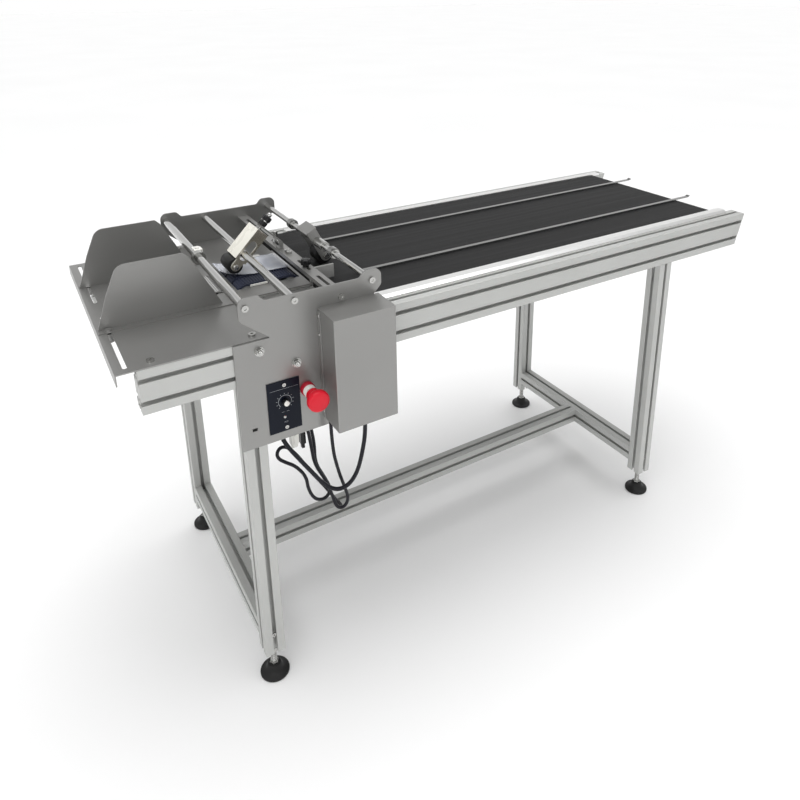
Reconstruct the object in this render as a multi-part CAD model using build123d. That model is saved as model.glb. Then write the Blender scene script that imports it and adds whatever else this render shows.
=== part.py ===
from build123d import *
import math
import os

# Belt conveyor section with a friction feeder head on its infeed end.
# Millimetres. X runs along the belt from infeed to outfeed, Y from the operator's side to the rear, Z up.
# Everything is drawn with x = 0 at the infeed end of the rails, y = 0 at the front rail's outer face and
# z = 0 at the floor, and is moved to the origin (centre of the footprint, on the floor) when it is written.

os.makedirs("parts", exist_ok=True)

# Overall sizes
LENGTH = 1500.0          # rails, along their top
WIDTH = 540.0            # across the rails' outer faces
DECK_Z = 750.0           # top of the rails
RAIL_H = 80.0
UNIT = 40.0              # extrusion module
RAIL_SLANT = 25.0        # how much shorter the rails are along their bottom
# Extrusion section
SLOT_W = 8.2
SLOT_LIP = 4.5
SLOT_T = 20.0
SLOT_DEEP = 12.0
CORE_R = 3.4
# Legs and stretchers
LEG_IN_X = 155.0         # infeed face of the infeed legs
LEG_OUT_X = LENGTH - 305.0   # infeed face of the outfeed legs
LEG_Z = 65.0             # lower end of the legs
STRETCHER_TOP = 130.0
# Levelling feet
PAD_R = 29.0
PAD_H = 24.0
PAD_RIM = 6.0
PAD_WAIST_R = 18.0
PAD_NECK_R = 13.0
STEM_R = 6.0
STEM_UP = 55.0           # stem inside the leg
FOOT_TRAVEL = 30.0
NUT_H = 9.0
NUT_AF = 18.0
# Clearances
RUN = 0.05               # radial clearance of a running fit
GAP = 0.3                # between curved faces that don't bear on each other
# Belt and rollers
BELT_TOP = 756.0
BELT_T = 2.7
BELT_EDGE = 15.0         # from a rail's inner face to the belt's edge
ROLLER_R = 25.0
ROLLER_SHAFT_R = 8.0
TAIL_X = 393.0           # tail roller axis
DRUM_X = LENGTH - 73.0   # drive drum axis
DRUM_WALL = 4.0
DRUM_MOTOR_GAP = 2.0     # between the drum's bore and the motor inside it
BED_T = 2.0
BED_H = 7.0
BED_GAP = 10.0           # from a roller to the bed
BED_IN_X = TAIL_X + ROLLER_R + BED_GAP
BED_OUT_X = DRUM_X - ROLLER_R - BED_GAP
BLOCK_L = 50.0
BLOCK_DROP = 2.0         # from the top of the rails to the top of the blocks
BLOCK_UNDER = 20.0       # from the roller axis to the bottom of the blocks
BEAM_IN_X = BED_IN_X + 132.0
BEAM_OUT_X = BED_OUT_X - 152.0
BEAM_X = (BEAM_IN_X, (BEAM_IN_X + BEAM_OUT_X) / 2, BEAM_OUT_X)
STRIP_IN_X = 436.0
STRIP_OUT_X = LENGTH - 38.0
# Feeder side plates
PLATE_T = 3.0
PLATE_IN_X = 150.0
PLATE_OUT_X = 400.0
PLATE_BOTTOM = 545.0
PLATE_BAND = 820.0       # top edge of the plates
LOBE_TOP = 832.0
LOBE_IN_X = 164.0
LOBE_OUT_X = 430.0
# Rods between the plates
TIE_X, TIE_Z, TIE_R = 176.0, 814.0, 8.0
SEP_X, SEP_Z, SEP_ROD_R = 262.0, 808.0, 8.0
KICK_X, KICK_Z, KICK_R = 411.0, 812.0, 6.0
BAR_X, BAR_Z, BAR_W, BAR_T = 349.0, 794.0, 24.0, 8.0
# Tray and guides
TRAY_IN_X = -32.0
TRAY_OUT_X = 362.0
TRAY_T = 2.0
TRAY_LIP = 18.0
SLOT_X = -14.0
TRAY_SLOT_W = 7.0
TRAY_SLOT = (15.0, 237.0)
GUIDE_T = 2.0
GUIDE_Y = 172.0          # front guide wall; the rear one mirrors it
REAR_GUIDE_OUT = 28.0    # and stands this much further out
GUIDE_FLANGE = 14.0
GUIDE_TOP = 866.0
# Feed module
FEED_PLATE_Y = 162.5
FEED_PLATE_T = 5.0
FEED_BAR = 20.0
FEED_BAR_TOP = 710.0
FEED_BAR_X = (230.0, 353.0)
FEED_IDLE_X = 246.0
FEED_DRIVE_X = 334.0
FEED_ROLLER_R = 18.0
FEED_SHAFT_R = 6.0
FEED_BELT_T = 3.2
FEED_TOOTH = 1.5
FEED_TOP = 765.0         # top of the teeth
FEED_BELT_W = 36.0
FEED_BELT_PITCH = 42.0
FEED_TEETH = 56
TABLE_TOP = 758.0
TABLE_T = 2.0
PICKUP_X = 194.0
PICKUP_R = 15.0
PICKUP_TOP = 757.0
PICKUP_SHAFT_R = 5.0
MOTOR_X = 300.0
MOTOR_Z = 650.0
MOTOR_BOX = 60.0
TIMING_T = 2.0
TIMING_CLEAR = 0.7       # from the timing belt to the table above it
# Separator
SEP_TILT = 45.0
SEP_WIDTH = 54.0
SEP_ASIDE = 10.0         # it stands this far to the rear of the belts' middle
SEP_ROLLER_R = 16.0
SEP_ROLLER_AT = 30.0     # below the separator rod, along the housing
SEP_HALF = 13.0
SEP_END = 56.0
KNOB_R = 9.5
# Kicker
KICK_WHEEL_R = 20.0
KICK_WHEEL_X = 429.0
KICK_W = 52.0
KICK_REACH = 28.0
# Hold-down strips
HOLD_Y = 163.0
HOLD_W = 10.0
HOLD_T = 2.0
HOLD_Z = 759.0
HOLD_END_X = LENGTH - 20.0
# Controls
PANEL_X = (200.0, 260.0)
PANEL_Z = (562.0, 663.0)
KNOB_X, KNOB_Z = 231.0, 622.0
STOP_X, STOP_Z = 274.0, 634.0
STOP_BASE_R = 13.0
STOP_NECK_R = 11.0
STOP_HEAD_R = 20.0
STOP_PRESS = 4.0
BOX_X = (303.0, 423.0)
BOX_Z = (566.0, 784.0)
BOX_DEEP = 70.0
BOX_BASE = 15.0
BOX_WALL = 1.5

MID_Y = WIDTH / 2
SEP_MID_Y = MID_Y + SEP_ASIDE
RAIL_BOTTOM = DECK_Z - RAIL_H
AXIS_Z = BELT_TOP - BELT_T - GAP - ROLLER_R
DRUM_BORE_R = ROLLER_R - DRUM_WALL
DRUM_MOTOR_R = DRUM_BORE_R - DRUM_MOTOR_GAP
FEED_Z = FEED_TOP - FEED_TOOTH - FEED_BELT_T - GAP - FEED_ROLLER_R
PULLEY_R = TABLE_TOP - TABLE_T - TIMING_CLEAR - TIMING_T - GAP - FEED_Z
PICKUP_Z = PICKUP_TOP - PICKUP_R
BED_TOP = AXIS_Z + ROLLER_R + GAP
PLATE_OUTER = -PLATE_T
X_MIN = TRAY_IN_X
X_MAX = LENGTH
Y_MIN = -BOX_DEEP
Y_MAX = WIDTH - UNIT / 2 + PAD_R
ORIGIN = ((X_MIN + X_MAX) / 2, (Y_MIN + Y_MAX) / 2, 0.0)


def save(shape, name):
    """Writes one sub-part, moved to the row's origin."""
    moved = Pos(-ORIGIN[0], -ORIGIN[1], -ORIGIN[2]) * shape
    export_step(moved, f"parts/{name}.step")


def group(shapes):
    return Compound(children=list(shapes))


def block(x0, x1, y0, y1, z0, z1):
    return Pos((x0 + x1) / 2, (y0 + y1) / 2, (z0 + z1) / 2) * Box(x1 - x0, y1 - y0, z1 - z0)


def bar_x(y, z, r, x0, x1):
    return Pos((x0 + x1) / 2, y, z) * Rot(0, 90, 0) * Cylinder(r, x1 - x0)


def bar_y(x, z, r, y0, y1):
    return Pos(x, (y0 + y1) / 2, z) * Rot(90, 0, 0) * Cylinder(r, y1 - y0)


def bar_z(x, y, r, z0, z1):
    return Pos(x, y, (z0 + z1) / 2) * Cylinder(r, z1 - z0)


def across(face, y0, y1):
    """A sketch drawn in (x, z), made solid between two places across the conveyor."""
    return Pos(0, y1, 0) * extrude(Plane.XZ * face, y1 - y0)


def along(face, x0, x1):
    """A sketch drawn in (y, z), made solid along the conveyor."""
    return Pos(x0, 0, 0) * extrude(Plane.YZ * face, x1 - x0)


def polygon(points):
    return make_face(Polyline(*points, close=True))


def rounded(points):
    """A closed outline from (x, z, corner radius)."""
    corners = [(x, z) for x, z, _ in points]
    return make_face(FilletPolyline(*corners, radius=[r for _, _, r in points], close=True))


def mirror_y(shape):
    return mirror(shape, about=Plane.XZ.offset(-MID_Y))


def button_screw(x, y, z, toward, r=5.0, h=3.0):
    """Domed screw head on a face across the conveyor; toward is -1 for the front and 1 for the rear."""
    y0, y1 = sorted((y, y + toward * h))
    s0, s1 = sorted((y + toward * h / 2, y + toward * h))
    return bar_y(x, z, r, y0, y1) - across(Pos(x, z) * RegularPolygon(r * 0.45, 6), s0, s1)


def slot_section(cells):
    """Slotted extrusion section, UNIT wide and cells x UNIT high, centred on its middle."""
    height = UNIT * cells
    face = RectangleRounded(UNIT, height, 1.5)
    half_w, half_t = SLOT_W / 2, SLOT_T / 2
    tee = [(-half_w, 0), (-half_w, -SLOT_LIP), (-half_t, -SLOT_LIP), (-half_t, -SLOT_LIP - 2.5),
           (-half_t + 4.5, -SLOT_DEEP), (half_t - 4.5, -SLOT_DEEP), (half_t, -SLOT_LIP - 2.5),
           (half_t, -SLOT_LIP), (half_w, -SLOT_LIP), (half_w, 0)]
    slot = polygon(tee)
    face -= Pos(0, height / 2) * slot
    face -= Pos(0, -height / 2) * Rot(0, 0, 180) * slot
    for cell in range(cells):
        level = (cell + 0.5) * UNIT - height / 2
        face -= Pos(UNIT / 2, level) * Rot(0, 0, -90) * slot
        face -= Pos(-UNIT / 2, level) * Rot(0, 0, 90) * slot
        face -= Pos(0, level) * Circle(CORE_R)
    return face


def rail():
    """Front side rail: level top, outfeed end cut on a slant."""
    section = Pos(UNIT / 2, DECK_Z - RAIL_H / 2) * slot_section(2)
    body = along(section, 0, LENGTH)
    wedge = [(LENGTH - RAIL_SLANT, RAIL_BOTTOM), (LENGTH, DECK_Z), (LENGTH + 1, DECK_Z + 1),
             (LENGTH + 1, RAIL_BOTTOM - 1), (LENGTH - RAIL_SLANT, RAIL_BOTTOM - 1)]
    return body - across(polygon(wedge), -1, UNIT + 1)


def leg(x, y):
    body = Pos(x + UNIT / 2, y + UNIT / 2, LEG_Z) * extrude(slot_section(1), RAIL_BOTTOM - LEG_Z)
    return body - bar_z(x + UNIT / 2, y + UNIT / 2, STEM_R + 0.5, LEG_Z - 1, LEG_Z + STEM_UP + 5)


def foot(x, y):
    """Levelling foot: bell-shaped rubber pad and threaded stem."""
    bell = FilletPolyline((0, 0), (PAD_R, 0), (PAD_R, PAD_RIM), (PAD_WAIST_R, PAD_RIM + 4), (PAD_NECK_R, PAD_H),
                          (0, PAD_H), radius=[0, 1.5, 3, 5, 2, 0], close=True)
    pad = revolve(Plane.XZ * make_face(bell), Axis.Z)
    stem = bar_z(0, 0, STEM_R, PAD_H, LEG_Z + STEM_UP)
    return [Pos(x, y, 0) * pad, Pos(x, y, 0) * stem]


def hex_nut(x, y, z0, z1, flats, bore):
    body = Pos(x, y, z0) * extrude(RegularPolygon(flats / 2, 6, major_radius=False), z1 - z0)
    return body - bar_z(x, y, bore, z0 - 1, z1 + 1)


def belt_loop(x0, x1, z, r, t, y0, y1):
    outer = Pos((x0 + x1) / 2, z) * SlotCenterToCenter(x1 - x0, 2 * (r + t))
    inner = Pos((x0 + x1) / 2, z) * SlotCenterToCenter(x1 - x0, 2 * r)
    return across(outer - inner, y0, y1)


def loop_point(distance, reach, r):
    """Point and outward normal on a stadium of straight length reach and end radius r, from its top left."""
    arc = math.pi * r
    distance %= 2 * (reach + arc)
    if distance < reach:
        return (-reach / 2 + distance, r), (0, 1)
    if distance < reach + arc:
        angle = math.pi / 2 - (distance - reach) / r
        return (reach / 2 + r * math.cos(angle), r * math.sin(angle)), (math.cos(angle), math.sin(angle))
    if distance < 2 * reach + arc:
        return (reach / 2 - (distance - reach - arc), -r), (0, -1)
    angle = -math.pi / 2 - (distance - 2 * reach - arc) / r
    return (-reach / 2 + r * math.cos(angle), r * math.sin(angle)), (math.cos(angle), math.sin(angle))


def toothed_belt(y0, y1):
    reach = FEED_DRIVE_X - FEED_IDLE_X
    land = FEED_ROLLER_R + GAP + FEED_BELT_T
    pitch = 2 * (reach + math.pi * land) / FEED_TEETH
    outline = []
    for tooth in range(FEED_TEETH):
        for step, rise in ((0.0, 0.0), (0.1, FEED_TOOTH), (0.5, FEED_TOOTH), (0.6, 0.0)):
            (x, z), (nx, nz) = loop_point((tooth + step) * pitch, reach, land)
            outline.append((x + nx * rise, z + nz * rise))
    inner = SlotCenterToCenter(reach, 2 * (FEED_ROLLER_R + GAP))
    face = Pos((FEED_IDLE_X + FEED_DRIVE_X) / 2, FEED_Z) * (polygon(outline) - inner)
    return across(face, y0, y1)


# Frame
front_rail = rail()
save(front_rail, "front_rail")
save(mirror_y(front_rail), "rear_rail")
for x, end in ((LEG_IN_X, "infeed"), (LEG_OUT_X, "outfeed")):
    for y, side in ((0.0, "front"), (WIDTH - UNIT, "rear")):
        save(leg(x, y), f"leg_{end}_{side}")
        save(group(foot(x + UNIT / 2, y + UNIT / 2)), f"levelling_foot_{end}_{side}")

stretcher_mid = STRETCHER_TOP - UNIT / 2
cross_section = slot_section(1)
cross_stretchers = [across(Pos(x + UNIT / 2, stretcher_mid) * cross_section, UNIT, WIDTH - UNIT)
                    for x in (LEG_IN_X, LEG_OUT_X)]
save(group(cross_stretchers), "cross_stretchers")
save(along(Pos(MID_Y, stretcher_mid) * cross_section, LEG_IN_X + UNIT, LEG_OUT_X), "long_stretcher")

bed_under = BED_TOP - BED_H
bed_beams = [across(Pos(x, bed_under - UNIT / 2) * cross_section, UNIT, WIDTH - UNIT) for x in BEAM_X]
save(group(bed_beams), "bed_cross_beams")

# Conveyor
belt_y0, belt_y1 = UNIT + BELT_EDGE, WIDTH - UNIT - BELT_EDGE
bed_y0, bed_y1 = belt_y0 + 1, belt_y1 - 1
bed = block(BED_IN_X, BED_OUT_X, bed_y0, bed_y1, bed_under, BED_TOP)
bed -= block(BED_IN_X + BED_T, BED_OUT_X - BED_T, bed_y0 + BED_T, bed_y1 - BED_T,
             bed_under - 1, BED_TOP - BED_T)
save(bed, "slider_bed")
save(belt_loop(TAIL_X, DRUM_X, AXIS_Z, ROLLER_R + GAP, BELT_T, belt_y0, belt_y1), "conveyor_belt")

roller_y0, roller_y1 = belt_y0 + 3, belt_y1 - 3
cap = 12.0
drum = bar_y(DRUM_X, AXIS_Z, ROLLER_R, roller_y0, roller_y1)
drum -= bar_y(DRUM_X, AXIS_Z, DRUM_BORE_R, roller_y0 + cap, roller_y1 - cap)
drum -= bar_y(DRUM_X, AXIS_Z, ROLLER_SHAFT_R + RUN, roller_y0 - 1, roller_y1 + 1)
save(drum, "drive_drum")
drum_axle = bar_y(DRUM_X, AXIS_Z, ROLLER_SHAFT_R, UNIT, WIDTH - UNIT)
drum_axle += bar_y(DRUM_X, AXIS_Z, DRUM_MOTOR_R, roller_y0 + cap + 2, MID_Y + 60)
save(drum_axle, "drum_motor_axle")
tail = bar_y(TAIL_X, AXIS_Z, ROLLER_R, roller_y0, roller_y1)
tail += bar_y(TAIL_X, AXIS_Z, ROLLER_SHAFT_R, UNIT + 1, WIDTH - UNIT - 1)
save(tail, "tail_roller")
block_gap = 2.0
end_blocks = []
for x, bore in ((TAIL_X, ROLLER_SHAFT_R + RUN), (DRUM_X, ROLLER_SHAFT_R)):
    end = block(x - BLOCK_L / 2, x + BLOCK_L / 2, UNIT, belt_y0 - block_gap,
                AXIS_Z - BLOCK_UNDER, DECK_Z - BLOCK_DROP)
    end -= bar_y(x, AXIS_Z, bore, UNIT - 1, belt_y0)
    end_blocks += [end, mirror_y(end)]
save(group(end_blocks), "roller_end_blocks")

edge = UNIT + BELT_EDGE - 1.5
edge_face = polygon([(28, DECK_Z), (28, DECK_Z + 3), (34, DECK_Z + 8), (edge, DECK_Z + 8), (edge, DECK_Z + 3),
                     (UNIT + 1, DECK_Z + 3), (UNIT + 1, DECK_Z)])
edge_strip = along(edge_face, STRIP_IN_X, STRIP_OUT_X)
save(group([edge_strip, mirror_y(edge_strip)]), "belt_edge_strips")

# Feeder side plates
screw_holes = ((TIE_X, TIE_Z), (SEP_X, SEP_Z), (BAR_X, BAR_Z), (KICK_X, KICK_Z))
rail_bolts = ((194.0, DECK_Z - 20), (258.0, DECK_Z - 60))
plate_face = rounded([
    (PLATE_IN_X, PLATE_BOTTOM, 1), (PLATE_OUT_X, PLATE_BOTTOM, 1), (PLATE_OUT_X, DECK_Z + 20, 8),
    (LOBE_OUT_X, DECK_Z + 50, 10), (LOBE_OUT_X, LOBE_TOP, 14), (LOBE_OUT_X - 34, LOBE_TOP, 12),
    (LOBE_OUT_X - 44, PLATE_BAND, 8), (LOBE_IN_X + 46, PLATE_BAND, 8), (LOBE_IN_X + 36, LOBE_TOP, 10),
    (LOBE_IN_X, LOBE_TOP, 14), (LOBE_IN_X, DECK_Z + 42, 12), (LOBE_IN_X + 49, DECK_Z + TRAY_T, 2),
    (LOBE_IN_X + 49, DECK_Z, 0), (PLATE_IN_X, DECK_Z, 0)])
plate = across(plate_face, PLATE_OUTER, 0)
for x, z in rail_bolts:
    plate -= bar_y(x, z, 3.3, -10, 10)
for x, z in screw_holes:
    plate -= bar_y(x, z, 3.1, -10, 10)
plate -= block(PLATE_IN_X + 20, PLATE_IN_X + 29, -10, 10, PLATE_BOTTOM + 34, PLATE_BOTTOM + 40)
save(mirror_y(plate), "side_plate_rear")
plate -= block(KNOB_X - 18, KNOB_X + 18, -10, 10, KNOB_Z - 40, KNOB_Z + 30)
plate -= bar_y(STOP_X, STOP_Z, STOP_NECK_R, -10, 10)
save(plate, "side_plate_front")


def tie_rod(x, z, r):
    rod = bar_y(x, z, r, 0, WIDTH)
    return rod - bar_y(x, z, 3.1, -1, 16) - bar_y(x, z, 3.1, WIDTH - 16, WIDTH + 1)


save(tie_rod(TIE_X, TIE_Z, TIE_R), "infeed_tie_rod")
save(tie_rod(SEP_X, SEP_Z, SEP_ROD_R), "separator_rod")
save(tie_rod(KICK_X, KICK_Z, KICK_R), "kicker_rod")
bar_top = BAR_Z + BAR_T / 2
cross_bar = block(BAR_X - BAR_W / 2, BAR_X + BAR_W / 2, 0, WIDTH, BAR_Z - BAR_T / 2, bar_top)
for y in (70.0, 165.0, 310.0, 395.0, 475.0):
    cross_bar -= Pos(BAR_X, y, BAR_Z) * extrude(SlotOverall(60, 6.4, rotation=90), BAR_T, both=True)
cross_bar -= bar_y(BAR_X, BAR_Z, 3.1, -1, 16) + bar_y(BAR_X, BAR_Z, 3.1, WIDTH - 16, WIDTH + 1)
save(cross_bar, "slotted_cross_bar")

# Tray, guides and feed table
feed_y0 = FEED_PLATE_Y - 2.5
feed_x0 = LOBE_IN_X + 50
slot_mid_y = sum(TRAY_SLOT) / 2
tray = block(TRAY_IN_X, TRAY_OUT_X, GAP, WIDTH - GAP, DECK_Z, DECK_Z + TRAY_T)
tray += block(TRAY_IN_X, TRAY_IN_X + TRAY_T, GAP, WIDTH - GAP, DECK_Z - TRAY_LIP, DECK_Z)
guide_slot = extrude(SlotOverall(TRAY_SLOT[1] - TRAY_SLOT[0], TRAY_SLOT_W, rotation=90), 5, both=True)
for y in (slot_mid_y, WIDTH - slot_mid_y):
    tray -= Pos(SLOT_X, y, DECK_Z) * guide_slot
tray_holes = [(x, y) for x in (25.0, 191.0) for y in (UNIT / 2, WIDTH - UNIT / 2)]
for x, y in tray_holes:
    tray -= bar_z(x, y, 3.3, DECK_Z - 1, DECK_Z + 5)
tray -= block(feed_x0, TRAY_OUT_X + 1, feed_y0, WIDTH - feed_y0, DECK_Z - 1, DECK_Z + 5)
tray -= block(PICKUP_X - 15, PICKUP_X + 15, MID_Y - 49, MID_Y + 49, DECK_Z - 1, DECK_Z + 5)
save(tray, "infeed_tray")

floor = DECK_Z + TRAY_T
guide_face = rounded([(-30, floor, 0), (188, floor, 0), (136, GUIDE_TOP - 10, 14), (126, GUIDE_TOP, 6),
                      (14, GUIDE_TOP, 22), (-8, GUIDE_TOP - 50, 20)])
guide_wall = across(guide_face, GUIDE_Y, GUIDE_Y + GUIDE_T)
guide = guide_wall + block(-30, 208, GUIDE_Y - GUIDE_FLANGE, GUIDE_Y, floor, floor + GUIDE_T)
guide_screw_y = GUIDE_Y - GUIDE_FLANGE / 2
guide -= bar_z(SLOT_X, guide_screw_y, 3.05, floor - 1, floor + 5)
clamp = bar_z(SLOT_X, guide_screw_y, 3.0, DECK_Z - 8, floor + GUIDE_T)
clamp += bar_z(SLOT_X, guide_screw_y, 6.0, floor + GUIDE_T, floor + GUIDE_T + 3)
clamp += bar_z(SLOT_X, guide_screw_y, 9.0, DECK_Z - 16, DECK_Z - GAP)
save(group([guide, clamp]), "tray_guide_front")
save(group([Pos(0, REAR_GUIDE_OUT, 0) * mirror_y(s) for s in (guide, clamp)]), "tray_guide_rear")

plate_x1 = TRAY_OUT_X - 2
table_under = TABLE_TOP - TABLE_T
inner_points = [(PICKUP_X - 19, FEED_BAR_TOP + 2), (feed_x0 + 1, FEED_BAR_TOP), (plate_x1, FEED_BAR_TOP),
                (plate_x1, table_under), (feed_x0 + 1, table_under), (feed_x0 + 1, DECK_Z), (PICKUP_X - 19, DECK_Z)]
ear = [(plate_x1 + GAP, DECK_Z - 8), (plate_x1 + GAP, DECK_Z + 38), (KICK_X, DECK_Z + 38), (KICK_X, DECK_Z + 11),
       (plate_x1 + 4.5, DECK_Z + 11), (plate_x1 + 4.5, DECK_Z - 8)]
inner = across(polygon(inner_points), FEED_PLATE_Y, FEED_PLATE_Y + FEED_PLATE_T)
for x, r in ((FEED_IDLE_X, FEED_SHAFT_R), (FEED_DRIVE_X, FEED_SHAFT_R)):
    inner -= bar_y(x, FEED_Z, r + RUN, 0, MID_Y)
inner -= bar_y(PICKUP_X, PICKUP_Z, PICKUP_SHAFT_R + RUN, 0, MID_Y)
inner_rear = mirror_y(inner)
inner += across(polygon(ear), FEED_PLATE_Y, FEED_PLATE_Y + FEED_PLATE_T)
inner += block(plate_x1 - 1, plate_x1 + 1, FEED_PLATE_Y, FEED_PLATE_Y + FEED_PLATE_T, DECK_Z - 20, DECK_Z - 4)
inner += block(plate_x1, plate_x1 + 4.5, FEED_PLATE_Y, FEED_PLATE_Y + FEED_PLATE_T, DECK_Z - 8, DECK_Z - 4)
bar_half = 8.0
motor_y0 = FEED_PLATE_Y + 27.5
motor_plate = block(FEED_BAR_X[0] + bar_half, FEED_BAR_X[1] - bar_half, motor_y0 - 5, motor_y0,
                    FEED_BAR_TOP - FEED_BAR, FEED_BAR_TOP)
motor_plate += block(MOTOR_X - 38, MOTOR_X + 38, motor_y0 - 5, motor_y0, MOTOR_Z - 38, FEED_BAR_TOP)
motor_plate -= bar_y(MOTOR_X, MOTOR_Z, 8.0, 0, MID_Y)
feed_bars = [block(x - bar_half, x + bar_half, UNIT, WIDTH - UNIT, FEED_BAR_TOP - FEED_BAR, FEED_BAR_TOP)
             for x in FEED_BAR_X]
save(group([inner, inner_rear, motor_plate] + feed_bars), "feed_frame")

table = block(feed_x0 + 0.3, plate_x1, feed_y0 + 0.3, WIDTH - feed_y0 - 0.3, table_under, TABLE_TOP)
feed_half = FEED_BELT_PITCH + FEED_BELT_W / 2
table -= block(FEED_IDLE_X - 20, FEED_DRIVE_X + 20, MID_Y - feed_half - 4, MID_Y + feed_half + 4, table_under - 1,
               TABLE_TOP + 1)
save(table, "feed_table")

feed_belts = []
for offset in (-FEED_BELT_PITCH, 0, FEED_BELT_PITCH):
    y = MID_Y + offset
    feed_belts.append(toothed_belt(y - FEED_BELT_W / 2, y + FEED_BELT_W / 2))
save(group(feed_belts), "feed_belts")

feed_inner_y0 = FEED_PLATE_Y + FEED_PLATE_T
drum_y0, drum_y1 = MID_Y - feed_half - 3, MID_Y + feed_half + 3
pulley_y0, pulley_y1 = feed_inner_y0 + 5, feed_inner_y0 + 15
drive = bar_y(FEED_DRIVE_X, FEED_Z, FEED_ROLLER_R, drum_y0, drum_y1)
drive += bar_y(FEED_DRIVE_X, FEED_Z, FEED_SHAFT_R, FEED_PLATE_Y - 3, WIDTH - FEED_PLATE_Y + 3)
drive += bar_y(FEED_DRIVE_X, FEED_Z, PULLEY_R, pulley_y0, pulley_y1)
save(drive, "feed_drive_roller")
idle = bar_y(FEED_IDLE_X, FEED_Z, FEED_ROLLER_R, drum_y0, drum_y1)
idle += bar_y(FEED_IDLE_X, FEED_Z, FEED_SHAFT_R, FEED_PLATE_Y - 3, WIDTH - FEED_PLATE_Y + 3)
save(idle, "feed_idle_roller")

flutes = 22
fluted = []
for step in range(2 * flutes):
    r = PICKUP_R if step % 2 else PICKUP_R - 1.8
    for side in (-0.32, 0.32):
        angle = math.pi * (step + side) / flutes
        fluted.append((PICKUP_X + r * math.cos(angle), PICKUP_Z + r * math.sin(angle)))
pickup = across(polygon(fluted), MID_Y - 45, MID_Y + 45)
pickup += bar_y(PICKUP_X, PICKUP_Z, PICKUP_SHAFT_R, FEED_PLATE_Y - 3, WIDTH - FEED_PLATE_Y + 3)
save(pickup, "pickup_roller")

motor = block(MOTOR_X - MOTOR_BOX / 2, MOTOR_X + MOTOR_BOX / 2, motor_y0, motor_y0 + 50, MOTOR_Z - MOTOR_BOX / 2,
              MOTOR_Z + MOTOR_BOX / 2)
motor += bar_y(MOTOR_X, MOTOR_Z, MOTOR_BOX / 2 + 2, motor_y0 + 50, motor_y0 + 160)
motor -= bar_y(MOTOR_X, MOTOR_Z, 5.0 + RUN, motor_y0 - 1, motor_y0 + 24)
save(motor, "feed_gear_motor")
motor_pulley = bar_y(MOTOR_X, MOTOR_Z, 5.0, pulley_y0 - 2, motor_y0 + 22)
motor_pulley += bar_y(MOTOR_X, MOTOR_Z, PULLEY_R, pulley_y0, pulley_y1)
save(motor_pulley, "motor_pulley")
rise, run = FEED_Z - MOTOR_Z, FEED_DRIVE_X - MOTOR_X
lean = math.degrees(math.atan2(rise, run))
centres = math.hypot(rise, run)
timing = (SlotCenterToCenter(centres, 2 * (PULLEY_R + GAP + TIMING_T))
          - SlotCenterToCenter(centres, 2 * (PULLEY_R + GAP)))
timing = Pos((MOTOR_X + FEED_DRIVE_X) / 2, (MOTOR_Z + FEED_Z) / 2) * Rot(0, 0, lean) * timing
save(across(timing, pulley_y0 + 1, pulley_y1 - 1), "feed_timing_belt")

film_z = FEED_TOP + 1
film_face = polygon([(216, film_z + 5), (227, film_z), (352, film_z), (352, film_z + 1), (227.3, film_z + 1),
                     (216.5, film_z + 5.9)])
film = across(film_face, MID_Y - 20, MID_Y + feed_half + 22)
film += block(270, 320, MID_Y + feed_half + 12, MID_Y + feed_half + 22, TABLE_TOP, film_z)
save(film, "film_guard")

# Separator: its housing slides along a line tilted by SEP_TILT through the separator rod
tilt = math.radians(SEP_TILT)


def on_tilt(s, n):
    """Point (x, z) at s along the tilted line from the separator rod and n above it."""
    return (SEP_X + s * math.cos(tilt) - n * math.sin(tilt), SEP_Z + s * math.sin(tilt) + n * math.cos(tilt))


def tilted_box(s0, s1, n0, n1, y0, y1):
    return across(polygon([on_tilt(s0, n0), on_tilt(s1, n0), on_tilt(s1, n1), on_tilt(s0, n1)]), y0, y1)


def tilted_bar(r, s0, s1):
    x, z = on_tilt(s0, 0)
    return Pos(x, SEP_MID_Y, z) * Rot(0, 90 - SEP_TILT, 0) * Pos(0, 0, (s1 - s0) / 2) * Cylinder(r, s1 - s0)


sep_y0, sep_y1 = SEP_MID_Y - SEP_WIDTH / 2, SEP_MID_Y + SEP_WIDTH / 2
cheek = 3.0
ear_s = -SEP_ROLLER_AT
housing = tilted_box(-16, SEP_END, SEP_HALF - cheek, SEP_HALF, sep_y0, sep_y1)
for y0 in (sep_y0, sep_y1 - cheek):
    housing += tilted_box(-16, SEP_END, -SEP_HALF, SEP_HALF, y0, y0 + cheek)
    ear_x, ear_z = on_tilt(ear_s, 0)
    housing += tilted_box(ear_s, -16, -9, 9, y0, y0 + cheek) + bar_y(ear_x, ear_z, 9, y0, y0 + cheek)
slot_r = SEP_ROD_R + GAP
slot_low, slot_high = on_tilt(-5, 0), on_tilt(24, 0)
housing -= tilted_box(-5, 24, -slot_r, slot_r, sep_y0 - 1, sep_y1 + 1)
for end in (slot_low, slot_high):
    housing -= bar_y(*end, slot_r, sep_y0 - 1, sep_y1 + 1)
housing += tilted_box(SEP_END - 12, SEP_END, -SEP_HALF, SEP_HALF - cheek, sep_y0 + cheek, sep_y1 - cheek)
housing -= tilted_bar(4.0 + RUN, SEP_END - 14, SEP_END + 1)
housing -= bar_y(ear_x, ear_z, 4.0 + RUN, sep_y0 - 1, sep_y1 + 1)
save(housing, "separator_housing")
sep_roller = bar_y(ear_x, ear_z, SEP_ROLLER_R, sep_y0 + cheek + GAP, sep_y1 - cheek - GAP)
sep_roller += bar_y(ear_x, ear_z, 4.0, sep_y0 - 1, sep_y1 + 1)
for y0, y1 in ((sep_y0 - 4, sep_y0 - GAP), (sep_y1 + GAP, sep_y1 + 4)):
    sep_roller += bar_y(ear_x, ear_z, 6.0, y0, y1)
save(sep_roller, "separator_roller")

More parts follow.
